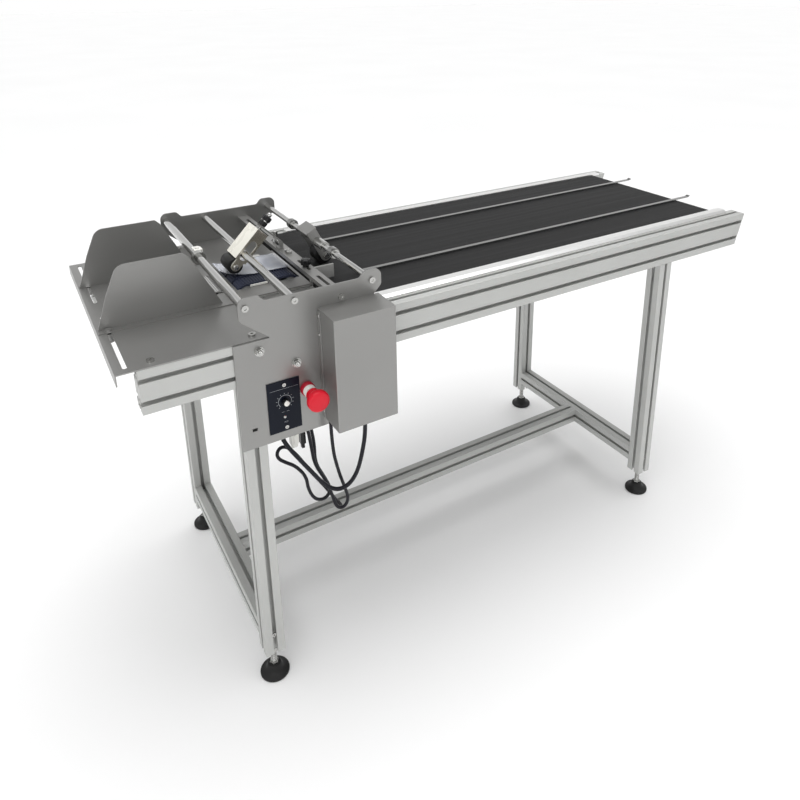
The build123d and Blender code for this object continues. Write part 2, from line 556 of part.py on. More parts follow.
tab_s = SEP_END + 6
tab_top, tab_low = on_tilt(tab_s + 3, SEP_HALF), on_tilt(tab_s + 3, -58)
under_low = on_tilt(tab_s, -57)
leg_x = tab_low[0]
tab = [on_tilt(tab_s, SEP_HALF), tab_top, tab_low, (leg_x, bar_top), (BAR_X - 11, bar_top),
       (BAR_X - 11, bar_top + 3), (leg_x - 3, bar_top + 3), (leg_x - 3, under_low[1])]
bracket = across(polygon(tab), SEP_MID_Y - 8, SEP_MID_Y + 8) - tilted_bar(4.0 + RUN, tab_s - 1, tab_s + 4)
save(bracket, "separator_bracket")
knob = tilted_bar(4.0, SEP_END - 10, tab_s + 34) + tilted_bar(KNOB_R, tab_s + 3 + GAP, tab_s + 20)
for n0, n1 in ((KNOB_R - 0.9, KNOB_R + 1), (-KNOB_R - 1, -KNOB_R + 0.9)):
    knob -= tilted_box(tab_s + 6, tab_s + 21, n0, n1, SEP_MID_Y - 1.4, SEP_MID_Y + 1.4)
save(knob, "separator_knob")

clamp_y = 155.0
clamp_knob = bar_z(BAR_X, clamp_y, 3.0, BAR_Z - 10, bar_top + 4)
clamp_knob += bar_z(BAR_X, clamp_y, 10.0, bar_top + 4, bar_top + 16)
clamp_knob += bar_z(BAR_X, clamp_y, 6.0, bar_top, bar_top + 4)
clamp_knob += bar_z(BAR_X, clamp_y, 6.0, BAR_Z - 10, BAR_Z - BAR_T / 2 - GAP)
save(clamp_knob, "bar_clamp_knob")

# Kicker: bracket swings on its rod and carries the rubber wheel
wheel_z = BELT_TOP + 0.6 + KICK_WHEEL_R
reach = math.hypot(KICK_WHEEL_X - KICK_X, wheel_z - KICK_Z)
kick_angle = math.degrees(math.atan2(wheel_z - KICK_Z, KICK_WHEEL_X - KICK_X))
kick_y0, kick_y1 = MID_Y - KICK_W / 2 - 4, MID_Y + KICK_W / 2 - 4
arm_t = 2.5


def kick_box(a0, a1, b0, b1, y0, y1):
    """Box in the kicker's own directions: a runs from the rod to the wheel."""
    flat = Pos((a0 + a1) / 2, (b0 + b1) / 2) * Rectangle(a1 - a0, b1 - b0)
    return across(Pos(KICK_X, KICK_Z) * Rot(0, 0, kick_angle) * flat, y0, y1)


kicker = kick_box(-KICK_REACH, -KICK_REACH + arm_t, -13, 13, kick_y0, kick_y1)
for y0 in (kick_y0, kick_y1 - arm_t):
    kicker += kick_box(-KICK_REACH, reach, -11, 11, y0, y0 + arm_t)
    kicker += bar_y(KICK_WHEEL_X, wheel_z, 11, y0, y0 + arm_t)
kicker -= bar_y(KICK_X, KICK_Z, KICK_R + RUN, kick_y0 - 1, kick_y1 + 1)
kicker -= bar_y(KICK_WHEEL_X, wheel_z, 4.0 + RUN, kick_y0 - 1, kick_y1 + 1)
save(kicker, "kicker_bracket")
wheel = bar_y(KICK_WHEEL_X, wheel_z, KICK_WHEEL_R, kick_y0 + arm_t + 6, kick_y1 - arm_t - 6)
wheel += bar_y(KICK_WHEEL_X, wheel_z, 7, kick_y0 + arm_t + GAP, kick_y1 - arm_t - GAP)
wheel += bar_y(KICK_WHEEL_X, wheel_z, 4.0, kick_y0 - 1, kick_y1 + 1)
for y0, y1 in ((kick_y0 - 5, kick_y0 - GAP), (kick_y1 + GAP, kick_y1 + 5)):
    wheel += bar_y(KICK_WHEEL_X, wheel_z, 6.5, y0, y1)
save(wheel, "kicker_wheel")


def collar(x, z, bore, r, y0, y1):
    return bar_y(x, z, r, y0, y1) - bar_y(x, z, bore, y0 - 1, y1 + 1)


collars = [collar(KICK_X, KICK_Z, KICK_R, 10, kick_y0 - 40, kick_y0 - GAP),
           collar(KICK_X, KICK_Z, KICK_R, 10, kick_y1 + GAP, kick_y1 + 14),
           collar(TIE_X, TIE_Z, TIE_R, 13, MID_Y - 4, MID_Y + 10)]
for side in (HOLD_Y, WIDTH - HOLD_Y):
    for y in (side - 13 - GAP, side + 7 + GAP):
        collars.append(collar(KICK_X, KICK_Z, KICK_R, 9, y, y + 6))
save(group(collars), "rod_collars")

strap_x = 466.0
hold_y0, hold_y1 = HOLD_Y - HOLD_W / 2, HOLD_Y + HOLD_W / 2
hold_mid = HOLD_Z + HOLD_T / 2
path = FilletPolyline((KICK_X + 8, KICK_Z - 5), (strap_x, hold_mid), (HOLD_END_X - 8, hold_mid),
                      (HOLD_END_X - 0.4, hold_mid + 3), radius=[24, 8])
strip_face = trace(path, line_width=HOLD_T)
hold = across(strip_face, hold_y0, hold_y1) + bar_y(KICK_X, KICK_Z, 11, HOLD_Y - 7, HOLD_Y + 7)
hold -= bar_y(KICK_X, KICK_Z, KICK_R + RUN, HOLD_Y - 10, HOLD_Y + 10)
save(hold, "hold_down_strip_front")
save(mirror_y(hold), "hold_down_strip_rear")

# Controls on the front plate
back_x = (KNOB_X - 22, KNOB_X + 22)
back_z = (KNOB_Z - 44, KNOB_Z + 34)
panel = block(*PANEL_X, PLATE_OUTER - 2, PLATE_OUTER, *PANEL_Z)
panel += block(KNOB_X - 18, KNOB_X + 18, PLATE_OUTER, 0, KNOB_Z - 40, KNOB_Z + 30)
panel += block(*back_x, 0, 26, *back_z)
panel -= bar_y(KNOB_X, KNOB_Z, 3.0 + RUN, -20, 12)
save(panel, "control_panel")
panel_face = PLATE_OUTER - 2
speed_knob = bar_y(KNOB_X, KNOB_Z, 6.5, panel_face - 12, panel_face - GAP)
speed_knob += bar_y(KNOB_X, KNOB_Z, 3.0, panel_face - 1, 10)
speed_knob -= block(KNOB_X - 0.6, KNOB_X + 0.6, panel_face - 13, panel_face - 11, KNOB_Z + 1, KNOB_Z + 8)
save(speed_knob, "speed_knob")

stop_front = PLATE_OUTER - 21
stop_base = bar_y(STOP_X, STOP_Z, STOP_BASE_R, stop_front, PLATE_OUTER)
stop_base += bar_y(STOP_X, STOP_Z, STOP_NECK_R, PLATE_OUTER, 0)
stop_base += block(STOP_X - 16, STOP_X + 14, 0, 45, STOP_Z - 14, STOP_Z + 16)
stop_base -= bar_y(STOP_X, STOP_Z, 5.0 + RUN, stop_front - 1, 12)
save(stop_base, "emergency_stop_base")
neck_back = stop_front - STOP_PRESS - GAP
stop_head = bar_y(STOP_X, STOP_Z, 5.0, neck_back - 1, 12 - STOP_PRESS - 1)
stop_head += bar_y(STOP_X, STOP_Z, 10.5, neck_back - 18, neck_back)
dome = FilletPolyline((0, 0), (STOP_HEAD_R, 0), (STOP_HEAD_R, 11), (STOP_HEAD_R * 0.5, 16), (0, 16),
                      radius=[0, 3, 5, 8, 0], close=True)
mushroom = Rot(90, 0, 0) * revolve(Plane.XZ * make_face(dome), Axis.Z)
stop_head += Pos(STOP_X, neck_back - 18, STOP_Z) * mushroom
save(stop_head, "emergency_stop_head")

box_x0, box_x1 = BOX_X
box_z0, box_z1 = BOX_Z
seam = -BOX_BASE
box_base = block(box_x0, box_x1, seam, PLATE_OUTER, box_z0, box_z1)
box_base -= block(box_x0 + BOX_WALL, box_x1 - BOX_WALL, seam - 1, PLATE_OUTER - BOX_WALL, box_z0 + BOX_WALL,
                  box_z1 - BOX_WALL)
save(box_base, "control_box_base")
lid = block(box_x0, box_x1, -BOX_DEEP, seam, box_z0, box_z1)
lid = fillet(lid.edges().filter_by(Axis.Z).group_by(Axis.Y)[0], 2.5)
lid -= block(box_x0 + BOX_WALL, box_x1 - BOX_WALL, -BOX_DEEP + BOX_WALL, seam + 1,
             box_z0 + BOX_WALL, box_z1 - BOX_WALL)
save(lid, "control_box_lid")

# Cables under the panel and the box: points, outer diameter
CABLES = {
    "cable_box_to_panel": (8.0, [
        (370, -38, box_z0), (370, -38, 526), (361, -37, 480), (351, -35, 443), (334, -31, 418), (311, -27, 413),
        (288, -22, 432), (264, -15, 471), (242, -5, 506), (229, 5, 528), (222, 13, 553), (222, 13, back_z[0])]),
    "cable_box_to_stop": (6.5, [
        (308, -22, box_z0), (308, -22, 508), (319, -18, 450), (334, -14, 398), (340, -12, 376), (337, -11, 360),
        (326, -10, 353), (315, -8, 362), (311, -5, 385), (298, -2, 429), (282, 5, 463), (281, 13, 499),
        (277, 17, 540), (268, 22, 582), (268, 22, STOP_Z - 14)]),
    "cable_tail": (6.5, [
        (279, 39, STOP_Z - 14), (279, 39, 580), (290, 35, 532), (294, 29, 488), (290, 23, 452), (306, 16, 415),
        (315, 12, 388), (303, 10, 372), (281, 9, 379), (268, 9, 408), (266, 10, 439), (248, 12, 468), (229, 15, 482),
        (218, 18, 492), (216, 20, 503), (224, 23, 511), (237, 25, 507), (249, 26, 492), (262, 27, 471),
        (284, 27, 428), (311, 27, 384), (334, 26, 339)]),
}


def cable(name, diameter, points):
    """Straight runs joined by tangent arcs, each arc as large as its two runs allow."""
    vectors = [Vector(*p) for p in points]
    radii = []
    for before, here, after in zip(vectors, vectors[1:], vectors[2:]):
        turn = math.radians((here - before).get_angle(after - here))
        shorter = min((here - before).length, (after - here).length)
        radii.append(0.45 * shorter / math.tan(turn / 2))
    print(name, "radii", [round(r) for r in radii])
    path = FilletPolyline(*vectors, radius=radii)
    solid = sweep(Plane(origin=vectors[0], z_dir=vectors[1] - vectors[0]) * Circle(diameter / 2), path=path)
    tube_volume = math.pi * diameter ** 2 / 4 * path.length
    print(name, "length", round(path.length), "volume over section x length", round(solid.volume / tube_volume, 4))
    return solid


for name, (diameter, points) in CABLES.items():
    save(cable(name, diameter, points), name)

tail_before, tail_end = (Vector(*point) for point in CABLES["cable_tail"][1][-2:])
tail_plug = Plane(origin=tail_end, z_dir=tail_end - tail_before) * Pos(0, 0, 7) * Cylinder(4.5, 14)
plugs = [block(243, 258, 12, 24, 512, 540) + bar_z(247, 18, 2.5, 540, back_z[0]),
         block(266, 276, 24, 36, 490, 528) + bar_z(271, 30, 2.5, 528, STOP_Z - 14),
         tail_plug]
save(group(plugs), "cable_plugs")

# Screws and nuts
plate_faces = ((PLATE_OUTER, -1), (WIDTH + PLATE_T, 1))
fasteners = []
for y, toward in plate_faces:
    for x, z in screw_holes + rail_bolts:
        fasteners.append(button_screw(x, y, z, toward, r=6.0, h=3.2))
for z in (PANEL_Z[0] + 8, PANEL_Z[1] - 8):
    fasteners.append(button_screw(KNOB_X, panel_face, z, -1, r=3.5, h=2.0))
for x, y in tray_holes:
    head = bar_z(x, y, 6.5, floor, floor + 3)
    fasteners.append(head - Pos(x, y, floor + 1.5) * extrude(RegularPolygon(2.6, 6), 3))
for x in (LEG_IN_X, LEG_OUT_X):
    for y, face, toward in ((0, 0, -1), (WIDTH, WIDTH, 1)):
        seat = face - toward * SLOT_LIP
        fasteners.append(button_screw(x + UNIT / 2, seat, stretcher_mid, toward, r=3.9, h=3.0))
    for y in (UNIT / 2, WIDTH - UNIT / 2):
        fasteners.append(hex_nut(x + UNIT / 2, y, LEG_Z - NUT_H, LEG_Z, NUT_AF, STEM_R + RUN))
for y in (MID_Y - 30, MID_Y - 18):
    fasteners.append(hex_nut(BAR_X, y, bar_top, bar_top + 5, 10, 1.5))
save(group(fasteners), "fasteners")
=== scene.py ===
import math

import bmesh
import bpy
from mathutils import Matrix, Vector


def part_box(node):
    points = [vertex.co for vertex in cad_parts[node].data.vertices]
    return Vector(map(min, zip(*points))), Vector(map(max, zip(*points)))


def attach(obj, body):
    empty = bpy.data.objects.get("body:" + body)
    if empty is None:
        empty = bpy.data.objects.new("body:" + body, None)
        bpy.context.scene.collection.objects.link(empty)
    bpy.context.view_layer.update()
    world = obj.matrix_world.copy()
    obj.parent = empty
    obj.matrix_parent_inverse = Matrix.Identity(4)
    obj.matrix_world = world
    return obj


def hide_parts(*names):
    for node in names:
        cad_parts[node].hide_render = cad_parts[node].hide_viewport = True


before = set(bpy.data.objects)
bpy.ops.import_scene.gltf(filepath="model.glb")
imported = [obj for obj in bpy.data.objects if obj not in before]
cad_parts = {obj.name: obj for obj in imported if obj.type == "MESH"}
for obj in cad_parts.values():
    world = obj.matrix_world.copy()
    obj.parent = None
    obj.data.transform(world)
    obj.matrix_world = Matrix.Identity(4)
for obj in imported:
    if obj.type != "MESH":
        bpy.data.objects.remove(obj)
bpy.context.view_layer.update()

# Belt conveyor section with a friction feeder head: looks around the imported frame.
# Places are given in millimetres from the infeed end of the front rail's outer face at floor level
# (x along the belt, y to the rear, z up); at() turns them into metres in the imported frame.
# Radii, heights and widths are in millimetres too.

MM = 0.001
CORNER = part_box("front_rail")[0]
TO_REAR, TO_FRONT, UPWARD = (0, 1, 0), (0, -1, 0), (0, 0, 1)


def at(x, y, z):
    """A place in millimetres as a point in metres."""
    return Vector((CORNER.x + x * MM, CORNER.y + y * MM, z * MM))


def in_mm(point):
    """The opposite of at()."""
    return (point - at(0, 0, 0)) / MM


def box_mm(node):
    """The two corners of a node's box, in millimetres as at() takes them."""
    low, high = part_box(node)
    return in_mm(low), in_mm(high)


def add_object(name, data):
    thing = bpy.data.objects.new(name, data)
    bpy.context.scene.collection.objects.link(thing)
    return thing


# ---------------------------------------------------------------- camera

CAMERA_PLACE = (-135.0, -1075.0, 1316.8)
CAMERA_YAW, CAMERA_PITCH, CAMERA_ROLL = (math.radians(a) for a in (32.04, 18.85, -0.21))
CAMERA_LENS = 32.34
CAMERA_SHIFT = (-0.0379, -0.2133)
CAMERA_CLIP_START = 0.05


def make_camera():
    """The camera, turned by its yaw, pitch and roll."""
    look = Vector((math.sin(CAMERA_YAW) * math.cos(CAMERA_PITCH),
                   math.cos(CAMERA_YAW) * math.cos(CAMERA_PITCH), -math.sin(CAMERA_PITCH)))
    right = Vector((math.cos(CAMERA_YAW), -math.sin(CAMERA_YAW), 0))
    up = right.cross(look)
    turned_right = math.cos(CAMERA_ROLL) * right + math.sin(CAMERA_ROLL) * up
    turned_up = math.cos(CAMERA_ROLL) * up - math.sin(CAMERA_ROLL) * right
    data = bpy.data.cameras.new("camera")
    data.lens = CAMERA_LENS
    data.shift_x, data.shift_y = CAMERA_SHIFT
    data.clip_start = CAMERA_CLIP_START
    camera = add_object("camera", data)
    turn = Matrix((turned_right, turned_up, -look)).transposed()
    camera.matrix_world = Matrix.Translation(at(*CAMERA_PLACE)) @ turn.to_4x4()
    bpy.context.scene.camera = camera


make_camera()
# All colours and lights below are set for plain sRGB, without a film-like tone curve.
bpy.context.scene.view_settings.view_transform = "Standard"

# ---------------------------------------------------------------- materials

# Sockets of a Mix node that mixes colours.
MIX_FACTOR, MIX_FIRST, MIX_SECOND, MIX_RESULT = 0, 6, 7, 2
# A noise stays mostly between these two.
NOISE_LOW, NOISE_HIGH = 0.3, 0.7
# Depth of the surface relief, in metres.
METAL_RELIEF, FINE_RELIEF = 0.0004, 0.0003
# How much of a metal's unevenness in gloss comes from its grain, beside its clouds.
GRAIN_SHARE = 0.6
WEAVE_SCALE, WEAVE_DISTORTION = 260.0, 0.4


class Nodes:
    """Short ways to add nodes to one material."""

    def __init__(self, name):
        self.material = bpy.data.materials.new(name)
        self.material.use_nodes = True
        self.tree = self.material.node_tree
        self.shader = self.tree.nodes["Principled BSDF"]
        self.place = self.add("ShaderNodeTexCoord").outputs["Object"]

    def add(self, kind, **settings):
        node = self.tree.nodes.new(kind)
        for key, value in settings.items():
            setattr(node, key, value)
        return node

    def link(self, out, into):
        self.tree.links.new(out, into)

    def stretched(self, scale):
        node = self.add("ShaderNodeMapping")
        node.inputs["Scale"].default_value = scale
        self.link(self.place, node.inputs["Vector"])
        return node.outputs["Vector"]

    def noise(self, where, scale, detail=3.0):
        node = self.add("ShaderNodeTexNoise")
        node.inputs["Scale"].default_value = scale
        node.inputs["Detail"].default_value = detail
        self.link(where, node.inputs["Vector"])
        return node.outputs["Fac"]

    def spread(self, value, low, high):
        """A noise turned into the range low to high."""
        node = self.add("ShaderNodeMapRange")
        node.inputs["From Min"].default_value = NOISE_LOW
        node.inputs["From Max"].default_value = NOISE_HIGH
        node.inputs["To Min"].default_value = low
        node.inputs["To Max"].default_value = high
        self.link(value, node.inputs["Value"])
        return node.outputs["Result"]

    def mix(self, factor):
        """A Mix node for colours, driven by factor."""
        node = self.add("ShaderNodeMix", data_type="RGBA")
        self.link(factor, node.inputs[MIX_FACTOR])
        return node

    def between(self, noise, dark, light):
        """A noise turned into a colour between two colours."""
        node = self.mix(self.spread(noise, 0, 1))
        node.inputs[MIX_FIRST].default_value = (*dark, 1)
        node.inputs[MIX_SECOND].default_value = (*light, 1)
        return node.outputs[MIX_RESULT]

    def bump(self, height, strength, distance):
        node = self.add("ShaderNodeBump")
        node.inputs["Strength"].default_value = strength
        node.inputs["Distance"].default_value = distance
        self.link(height, node.inputs["Height"])
        self.link(node.outputs["Normal"], self.shader.inputs["Normal"])

    def drive(self, socket, value):
        """Links a value or colour to one of the shader's sockets."""
        self.link(value, self.shader.inputs[socket])

    def set(self, **values):
        for key, value in values.items():
            self.shader.inputs[key.replace("_", " ")].default_value = value


def around(colour, variation):
    """A darker and a lighter form of one colour."""
    return [tuple(min(1.0, c * amount) for c in colour) for amount in (1 - variation, 1 + variation)]


def metal(name, colour, roughness, grain, variation=0.05, bump=0.03, cloud=3.0, metallic=1.0):
    """Metal whose fine grain is stretched along one direction; grain is the mapping scale."""
    n = Nodes(name)
    lines = n.noise(n.stretched(grain), 1.0, 4.0)
    clouds = n.noise(n.place, cloud, 4.0)
    n.drive("Base Color", n.between(clouds, *around(colour, variation)))
    mixed = n.add("ShaderNodeMath", operation="MULTIPLY_ADD")
    n.link(lines, mixed.inputs[0])
    mixed.inputs[1].default_value = GRAIN_SHARE
    n.link(clouds, mixed.inputs[2])
    n.drive("Roughness", n.spread(n.spread(mixed.outputs[0], -0.1, 0.9), *roughness))
    n.bump(lines, bump, METAL_RELIEF)
    n.set(Metallic=metallic)
    return n.material


def plastic(name, colour, roughness, scale=900.0, bump=0.05, variation=0.12, specular=0.4):
    """Moulded plastic, paint or rubber with a fine texture and slight unevenness."""
    n = Nodes(name)
    fine = n.noise(n.place, scale, 2.0)
    clouds = n.noise(n.place, 14.0, 4.0)
    n.drive("Base Color", n.between(clouds, *around(colour, variation)))
    n.drive("Roughness", n.spread(clouds, *roughness))
    n.bump(fine, bump, FINE_RELIEF)
    n.set(Specular_IOR_Level=specular)
    return n.material


def belt_material():
    """Dark belt cover: fine fabric impression, slightly dusty, with lengthwise rubbing marks."""
    n = Nodes("belt_cover")
    weave = n.add("ShaderNodeMath", operation="MULTIPLY")
    for direction, into in zip("XY", weave.inputs):
        thread = n.add("ShaderNodeTexWave", wave_type="BANDS", bands_direction=direction)
        thread.inputs["Scale"].default_value = WEAVE_SCALE
        thread.inputs["Distortion"].default_value = WEAVE_DISTORTION
        n.link(n.place, thread.inputs["Vector"])
        n.link(thread.outputs["Fac"], into)
    rubbed = n.noise(n.stretched((1.5, 90.0, 1.0)), 1.0, 5.0)
    n.drive("Base Color", n.between(rubbed, (0.010, 0.010, 0.0105), (0.016, 0.016, 0.016)))
    n.drive("Roughness", n.spread(rubbed, 0.52, 0.66))
    n.bump(weave.outputs[0], 0.25, FINE_RELIEF)
    n.set(Specular_IOR_Level=0.16)
    return n.material


def housing_material():
    """Painted cap with plain nickel-plated cheeks on the faces across the conveyor."""
    n = Nodes("separator_paint")
    split = n.add("ShaderNodeSeparateXYZ")
    n.link(n.tree.nodes["Texture Coordinate"].outputs["Normal"], split.inputs[0])
    side = n.add("ShaderNodeMath", operation="ABSOLUTE")
    n.link(split.outputs["Y"], side.inputs[0])
    cheek = n.add("ShaderNodeMath", operation="GREATER_THAN")
    n.link(side.outputs[0], cheek.inputs[0])
    cheek.inputs[1].default_value = 0.5
    clouds = n.noise(n.place, 30.0, 3.0)
    cream = n.between(clouds, (0.765, 0.745, 0.665), (0.80, 0.785, 0.71))
    nickel = n.between(clouds, (0.58, 0.54, 0.46), (0.72, 0.68, 0.59))
    mix = n.mix(cheek.outputs[0])
    n.link(cream, mix.inputs[MIX_FIRST])
    n.link(nickel, mix.inputs[MIX_SECOND])
    n.drive("Base Color", mix.outputs[MIX_RESULT])
    n.drive("Metallic", cheek.outputs[0])
    n.drive("Roughness", n.spread(clouds, 0.24, 0.36))
    n.bump(n.noise(n.place, 700.0, 2.0), 0.04, FINE_RELIEF)
    return n.material


def film_material():
    """Clear, slightly milky plastic sheet."""
    n = Nodes("clear_film")
    clouds = n.noise(n.place, 25.0, 3.0)
    n.drive("Base Color", n.between(clouds, (0.70, 0.73, 0.82), (0.90, 0.92, 0.97)))
    n.drive("Roughness", n.spread(clouds, 0.08, 0.2))
    n.set(Transmission_Weight=0.5, IOR=1.2, Coat_Weight=0.6, Coat_Roughness=0.06)
    return n.material


ALUMINIUM = (0.50, 0.505, 0.49)
STEEL = (0.30, 0.298, 0.29)


def anodised(axis, grain):
    return metal("anodised_along_" + axis, ALUMINIUM, (0.4, 0.5), grain, metallic=0.4)


def stainless(axis, grain):
    return metal("stainless_grain_" + axis, STEEL, (0.26, 0.36), grain,
                 variation=0.06, bump=0.05, cloud=2.2, metallic=0.75)


along_x = anodised("x", (3.0, 900.0, 900.0))
along_y = anodised("y", (900.0, 3.0, 900.0))
along_z = anodised("z", (900.0, 900.0, 3.0))
milled = metal("milled_aluminium", (0.70, 0.70, 0.68), (0.3, 0.42), (300.0, 300.0, 40.0))
strip_metal = metal("edge_strip_metal", (0.90, 0.90, 0.89), (0.3, 0.4), (3.0, 700.0, 700.0), variation=0.03)
sheet_x = stainless("x", (6.0, 1400.0, 1400.0))
sheet_y = stainless("y", (1400.0, 6.0, 1400.0))
sheet_z = stainless("z", (1400.0, 1400.0, 6.0))
polished = metal("polished_steel", (0.56, 0.56, 0.55), (0.04, 0.10), (300.0, 20.0, 300.0),
                 variation=0.03, bump=0.004)
strip_steel = metal("hold_down_steel", (0.30, 0.30, 0.295), (0.14, 0.24), (4.0, 600.0, 600.0),
                    variation=0.04, bump=0.02)
plated = metal("zinc_plated", (0.50, 0.50, 0.485), (0.10, 0.20), (200.0, 200.0, 200.0),
               variation=0.06, bump=0.01, cloud=60.0)
turned = metal("turned_aluminium", (0.66, 0.66, 0.65), (0.24, 0.34), (400.0, 30.0, 400.0))
belt_cover = belt_material()
toothed_rubber = plastic("toothed_rubber", (0.022, 0.027, 0.050), (0.4, 0.55), 600.0, 0.1, specular=0.3)
black_rubber = plastic("black_rubber", (0.010, 0.010, 0.010), (0.42, 0.6), 500.0, 0.12, specular=0.3)
black_plastic = plastic("black_plastic", (0.006, 0.006, 0.007), (0.24, 0.36), bump=0.06, specular=0.35)
panel_plastic = plastic("panel_plastic", (0.004, 0.006, 0.013), (0.3, 0.4), 1200.0, 0.03, specular=0.16)
stop_red = plastic("stop_red", (0.66, 0.010, 0.026), (0.26, 0.34), bump=0.03, variation=0.06, specular=0.3)
base_red = plastic("stop_base_red", (0.42, 0.012, 0.028), (0.3, 0.4), bump=0.03, variation=0.06)
white_plastic = plastic("white_plastic", (0.80, 0.79, 0.75), (0.3, 0.42), bump=0.04, variation=0.04)
white_print = plastic("white_print", (0.34, 0.36, 0.38), (0.4, 0.5), bump=0.02, variation=0.04)
motor_paint = plastic("motor_paint", (0.055, 0.058, 0.064), (0.32, 0.42), 500.0, 0.08)
cable_cover = plastic("cable_cover", (0.0035, 0.0035, 0.008), (0.32, 0.42), 700.0, 0.08, 0.1, specular=0.3)
housing_paint = housing_material()
clear_film = film_material()

NODE_MATERIALS = {
    along_x: ["front_rail", "rear_rail", "long_stretcher"],
    along_y: ["cross_stretchers", "bed_cross_beams"],
    along_z: ["leg_infeed_front", "leg_infeed_rear", "leg_outfeed_front", "leg_outfeed_rear"],
    milled: ["roller_end_blocks", "feed_frame"],
    strip_metal: ["belt_edge_strips"],
    sheet_x: ["side_plate_rear", "side_plate_front", "tray_guide_front", "tray_guide_rear", "slider_bed"],
    sheet_y: ["infeed_tray", "feed_table", "slotted_cross_bar"],
    sheet_z: ["control_box_base", "control_box_lid", "kicker_bracket", "separator_bracket"],
    polished: ["infeed_tie_rod", "separator_rod", "kicker_rod", "drum_motor_axle", "pickup_roller"],
    strip_steel: ["hold_down_strip_front", "hold_down_strip_rear"],
    plated: ["fasteners", "rod_collars"],
    turned: ["drive_drum", "tail_roller", "feed_drive_roller", "feed_idle_roller", "motor_pulley"],
    belt_cover: ["conveyor_belt"],
    toothed_rubber: ["feed_belts", "feed_timing_belt"],
    motor_paint: ["feed_gear_motor"],
    panel_plastic: ["control_panel"],
    housing_paint: ["separator_housing"],
}
for material, names in NODE_MATERIALS.items():
    for node in names:
        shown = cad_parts[node]
        shown.data.materials.clear()
        shown.data.materials.append(material)


def add_bevel(thing, name, width, segments, angle):
    """Rounds the edges of an object that turn by more than angle degrees."""
    rounding = thing.modifiers.new(name, "BEVEL")
    rounding.width = width * MM
    rounding.segments = segments
    rounding.limit_method = "ANGLE"
    rounding.angle_limit = math.radians(angle)


def add_thickness(piece, thickness):
    """Makes a bare surface a sheet that stands out equally on both sides."""
    sheet = piece.modifiers.new("thickness", "SOLIDIFY")
    sheet.thickness = thickness * MM
    sheet.offset = 0


# Sheet metal nodes and the separator's housing, by the width of their broken edges.
EDGED = {
    0.45: ["side_plate_front", "side_plate_rear", "tray_guide_front", "tray_guide_rear", "infeed_tray",
           "slotted_cross_bar", "kicker_bracket", "separator_bracket", "control_box_lid"],
    0.6: ["separator_housing"],
}
EDGED_SEGMENTS, EDGED_ANGLE = 2, 50
for width, names in EDGED.items():
    for node in names:
        add_bevel(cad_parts[node], "cut_edges", width, EDGED_SEGMENTS, EDGED_ANGLE)

# ---------------------------------------------------------------- piece builders

# Edges of a piece that turn by more degrees than this are drawn sharp, or bevelled.
SHARP_ANGLE = 35.0
BEVEL_SEGMENTS = 3


def finish_piece(bm, name, material, body, bevel=0.0):
    """Turns a bmesh into a piece with shading and an optional bevel, and seats it on its body."""
    bmesh.ops.recalc_face_normals(bm, faces=bm.faces)
    mesh = bpy.data.meshes.new(name)
    bm.to_mesh(mesh)
    bm.free()
    piece = add_object(name, mesh)
    mesh.materials.append(material)
    mesh.shade_smooth()
    if bevel:
        add_bevel(piece, "bevel", bevel, BEVEL_SEGMENTS, SHARP_ANGLE)
    mesh.set_sharp_from_angle(angle=math.radians(SHARP_ANGLE))
    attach(piece, body)
    return piece


def facing(origin, axis):
    """Matrix whose local Z runs along axis from origin; both in millimetres as at() takes them."""
    direction = Vector(axis).normalized()
    return Matrix.Translation(at(*origin)) @ direction.to_track_quat("Z", "Y").to_matrix().to_4x4()


def lathe_mesh(bm, profile, matrix, segments=48, radius_at=None):
    """Adds a turned shape to bm.

    profile is (radius, height); radius_at(k, r) may vary the radius of a ring at its point k.
    """
    rings = []
    for r, h in profile:
        ring = []
        for k in range(segments):
            angle = 2 * math.pi * k / segments
            reach = (radius_at(k, r) if radius_at else r) * MM
            point = Vector((reach * math.cos(angle), reach * math.sin(angle), h * MM))
            ring.append(bm.verts.new(matrix @ point))
        rings.append(ring)
    for lower, upper in zip(rings, rings[1:]):
        for k in range(segments):
            after = (k + 1) % segments
            bm.faces.new((lower[k], lower[after], upper[after], upper[k]))
    bm.faces.new(rings[0])
    bm.faces.new(rings[-1])


def lathe(name, profile, origin, axis, material, body, segments=48):
    """A piece made of one turned shape."""
    bm = bmesh.new()
    lathe_mesh(bm, profile, facing(origin, axis), segments)
    return finish_piece(bm, name, material, body)


def threaded(r, low, high, pitch=1.75, depth=0.7):
    """Profile of a threaded stem."""
    points = [(r - depth, low)]
    height = low + pitch / 2
    while height < high - pitch:
        points += [(r, height), (r, height + pitch * 0.25), (r - depth, height + pitch * 0.6)]
        height += pitch
    return points + [(r, high - 1.0), (r - 0.8, high)]


def join_outlines(bm, first, second):
    """Closes the solid between two rows of vertices that go round the same outline."""
    bm.faces.new(first)
    bm.faces.new(second)
    for k in range(len(first)):
        after = (k + 1) % len(first)
        bm.faces.new((first[k], first[after], second[after], second[k]))


def prism_mesh(bm, outline, matrix, depth):
    """Adds an outline (local x and y) pushed along local z by depth to bm."""
    join_outlines(bm, *([bm.verts.new(matrix @ Vector((x * MM, y * MM, height * MM))) for x, y in outline]
                        for height in (0, depth)))


def slab_mesh(bm, outline, y0, y1):
    """Adds an outline of (x, z) points pushed across the conveyor from y0 to y1 to bm."""
    join_outlines(bm, *([bm.verts.new(at(x, y, z)) for x, z in outline] for y in (y0, y1)))


def hexagon(r, turn=0.0):
    """Outline of a hex nut whose corners lie r from its middle."""
    angles = [turn + 2 * math.pi * k / 6 for k in range(6)]
    return [(r * math.cos(angle), r * math.sin(angle)) for angle in angles]


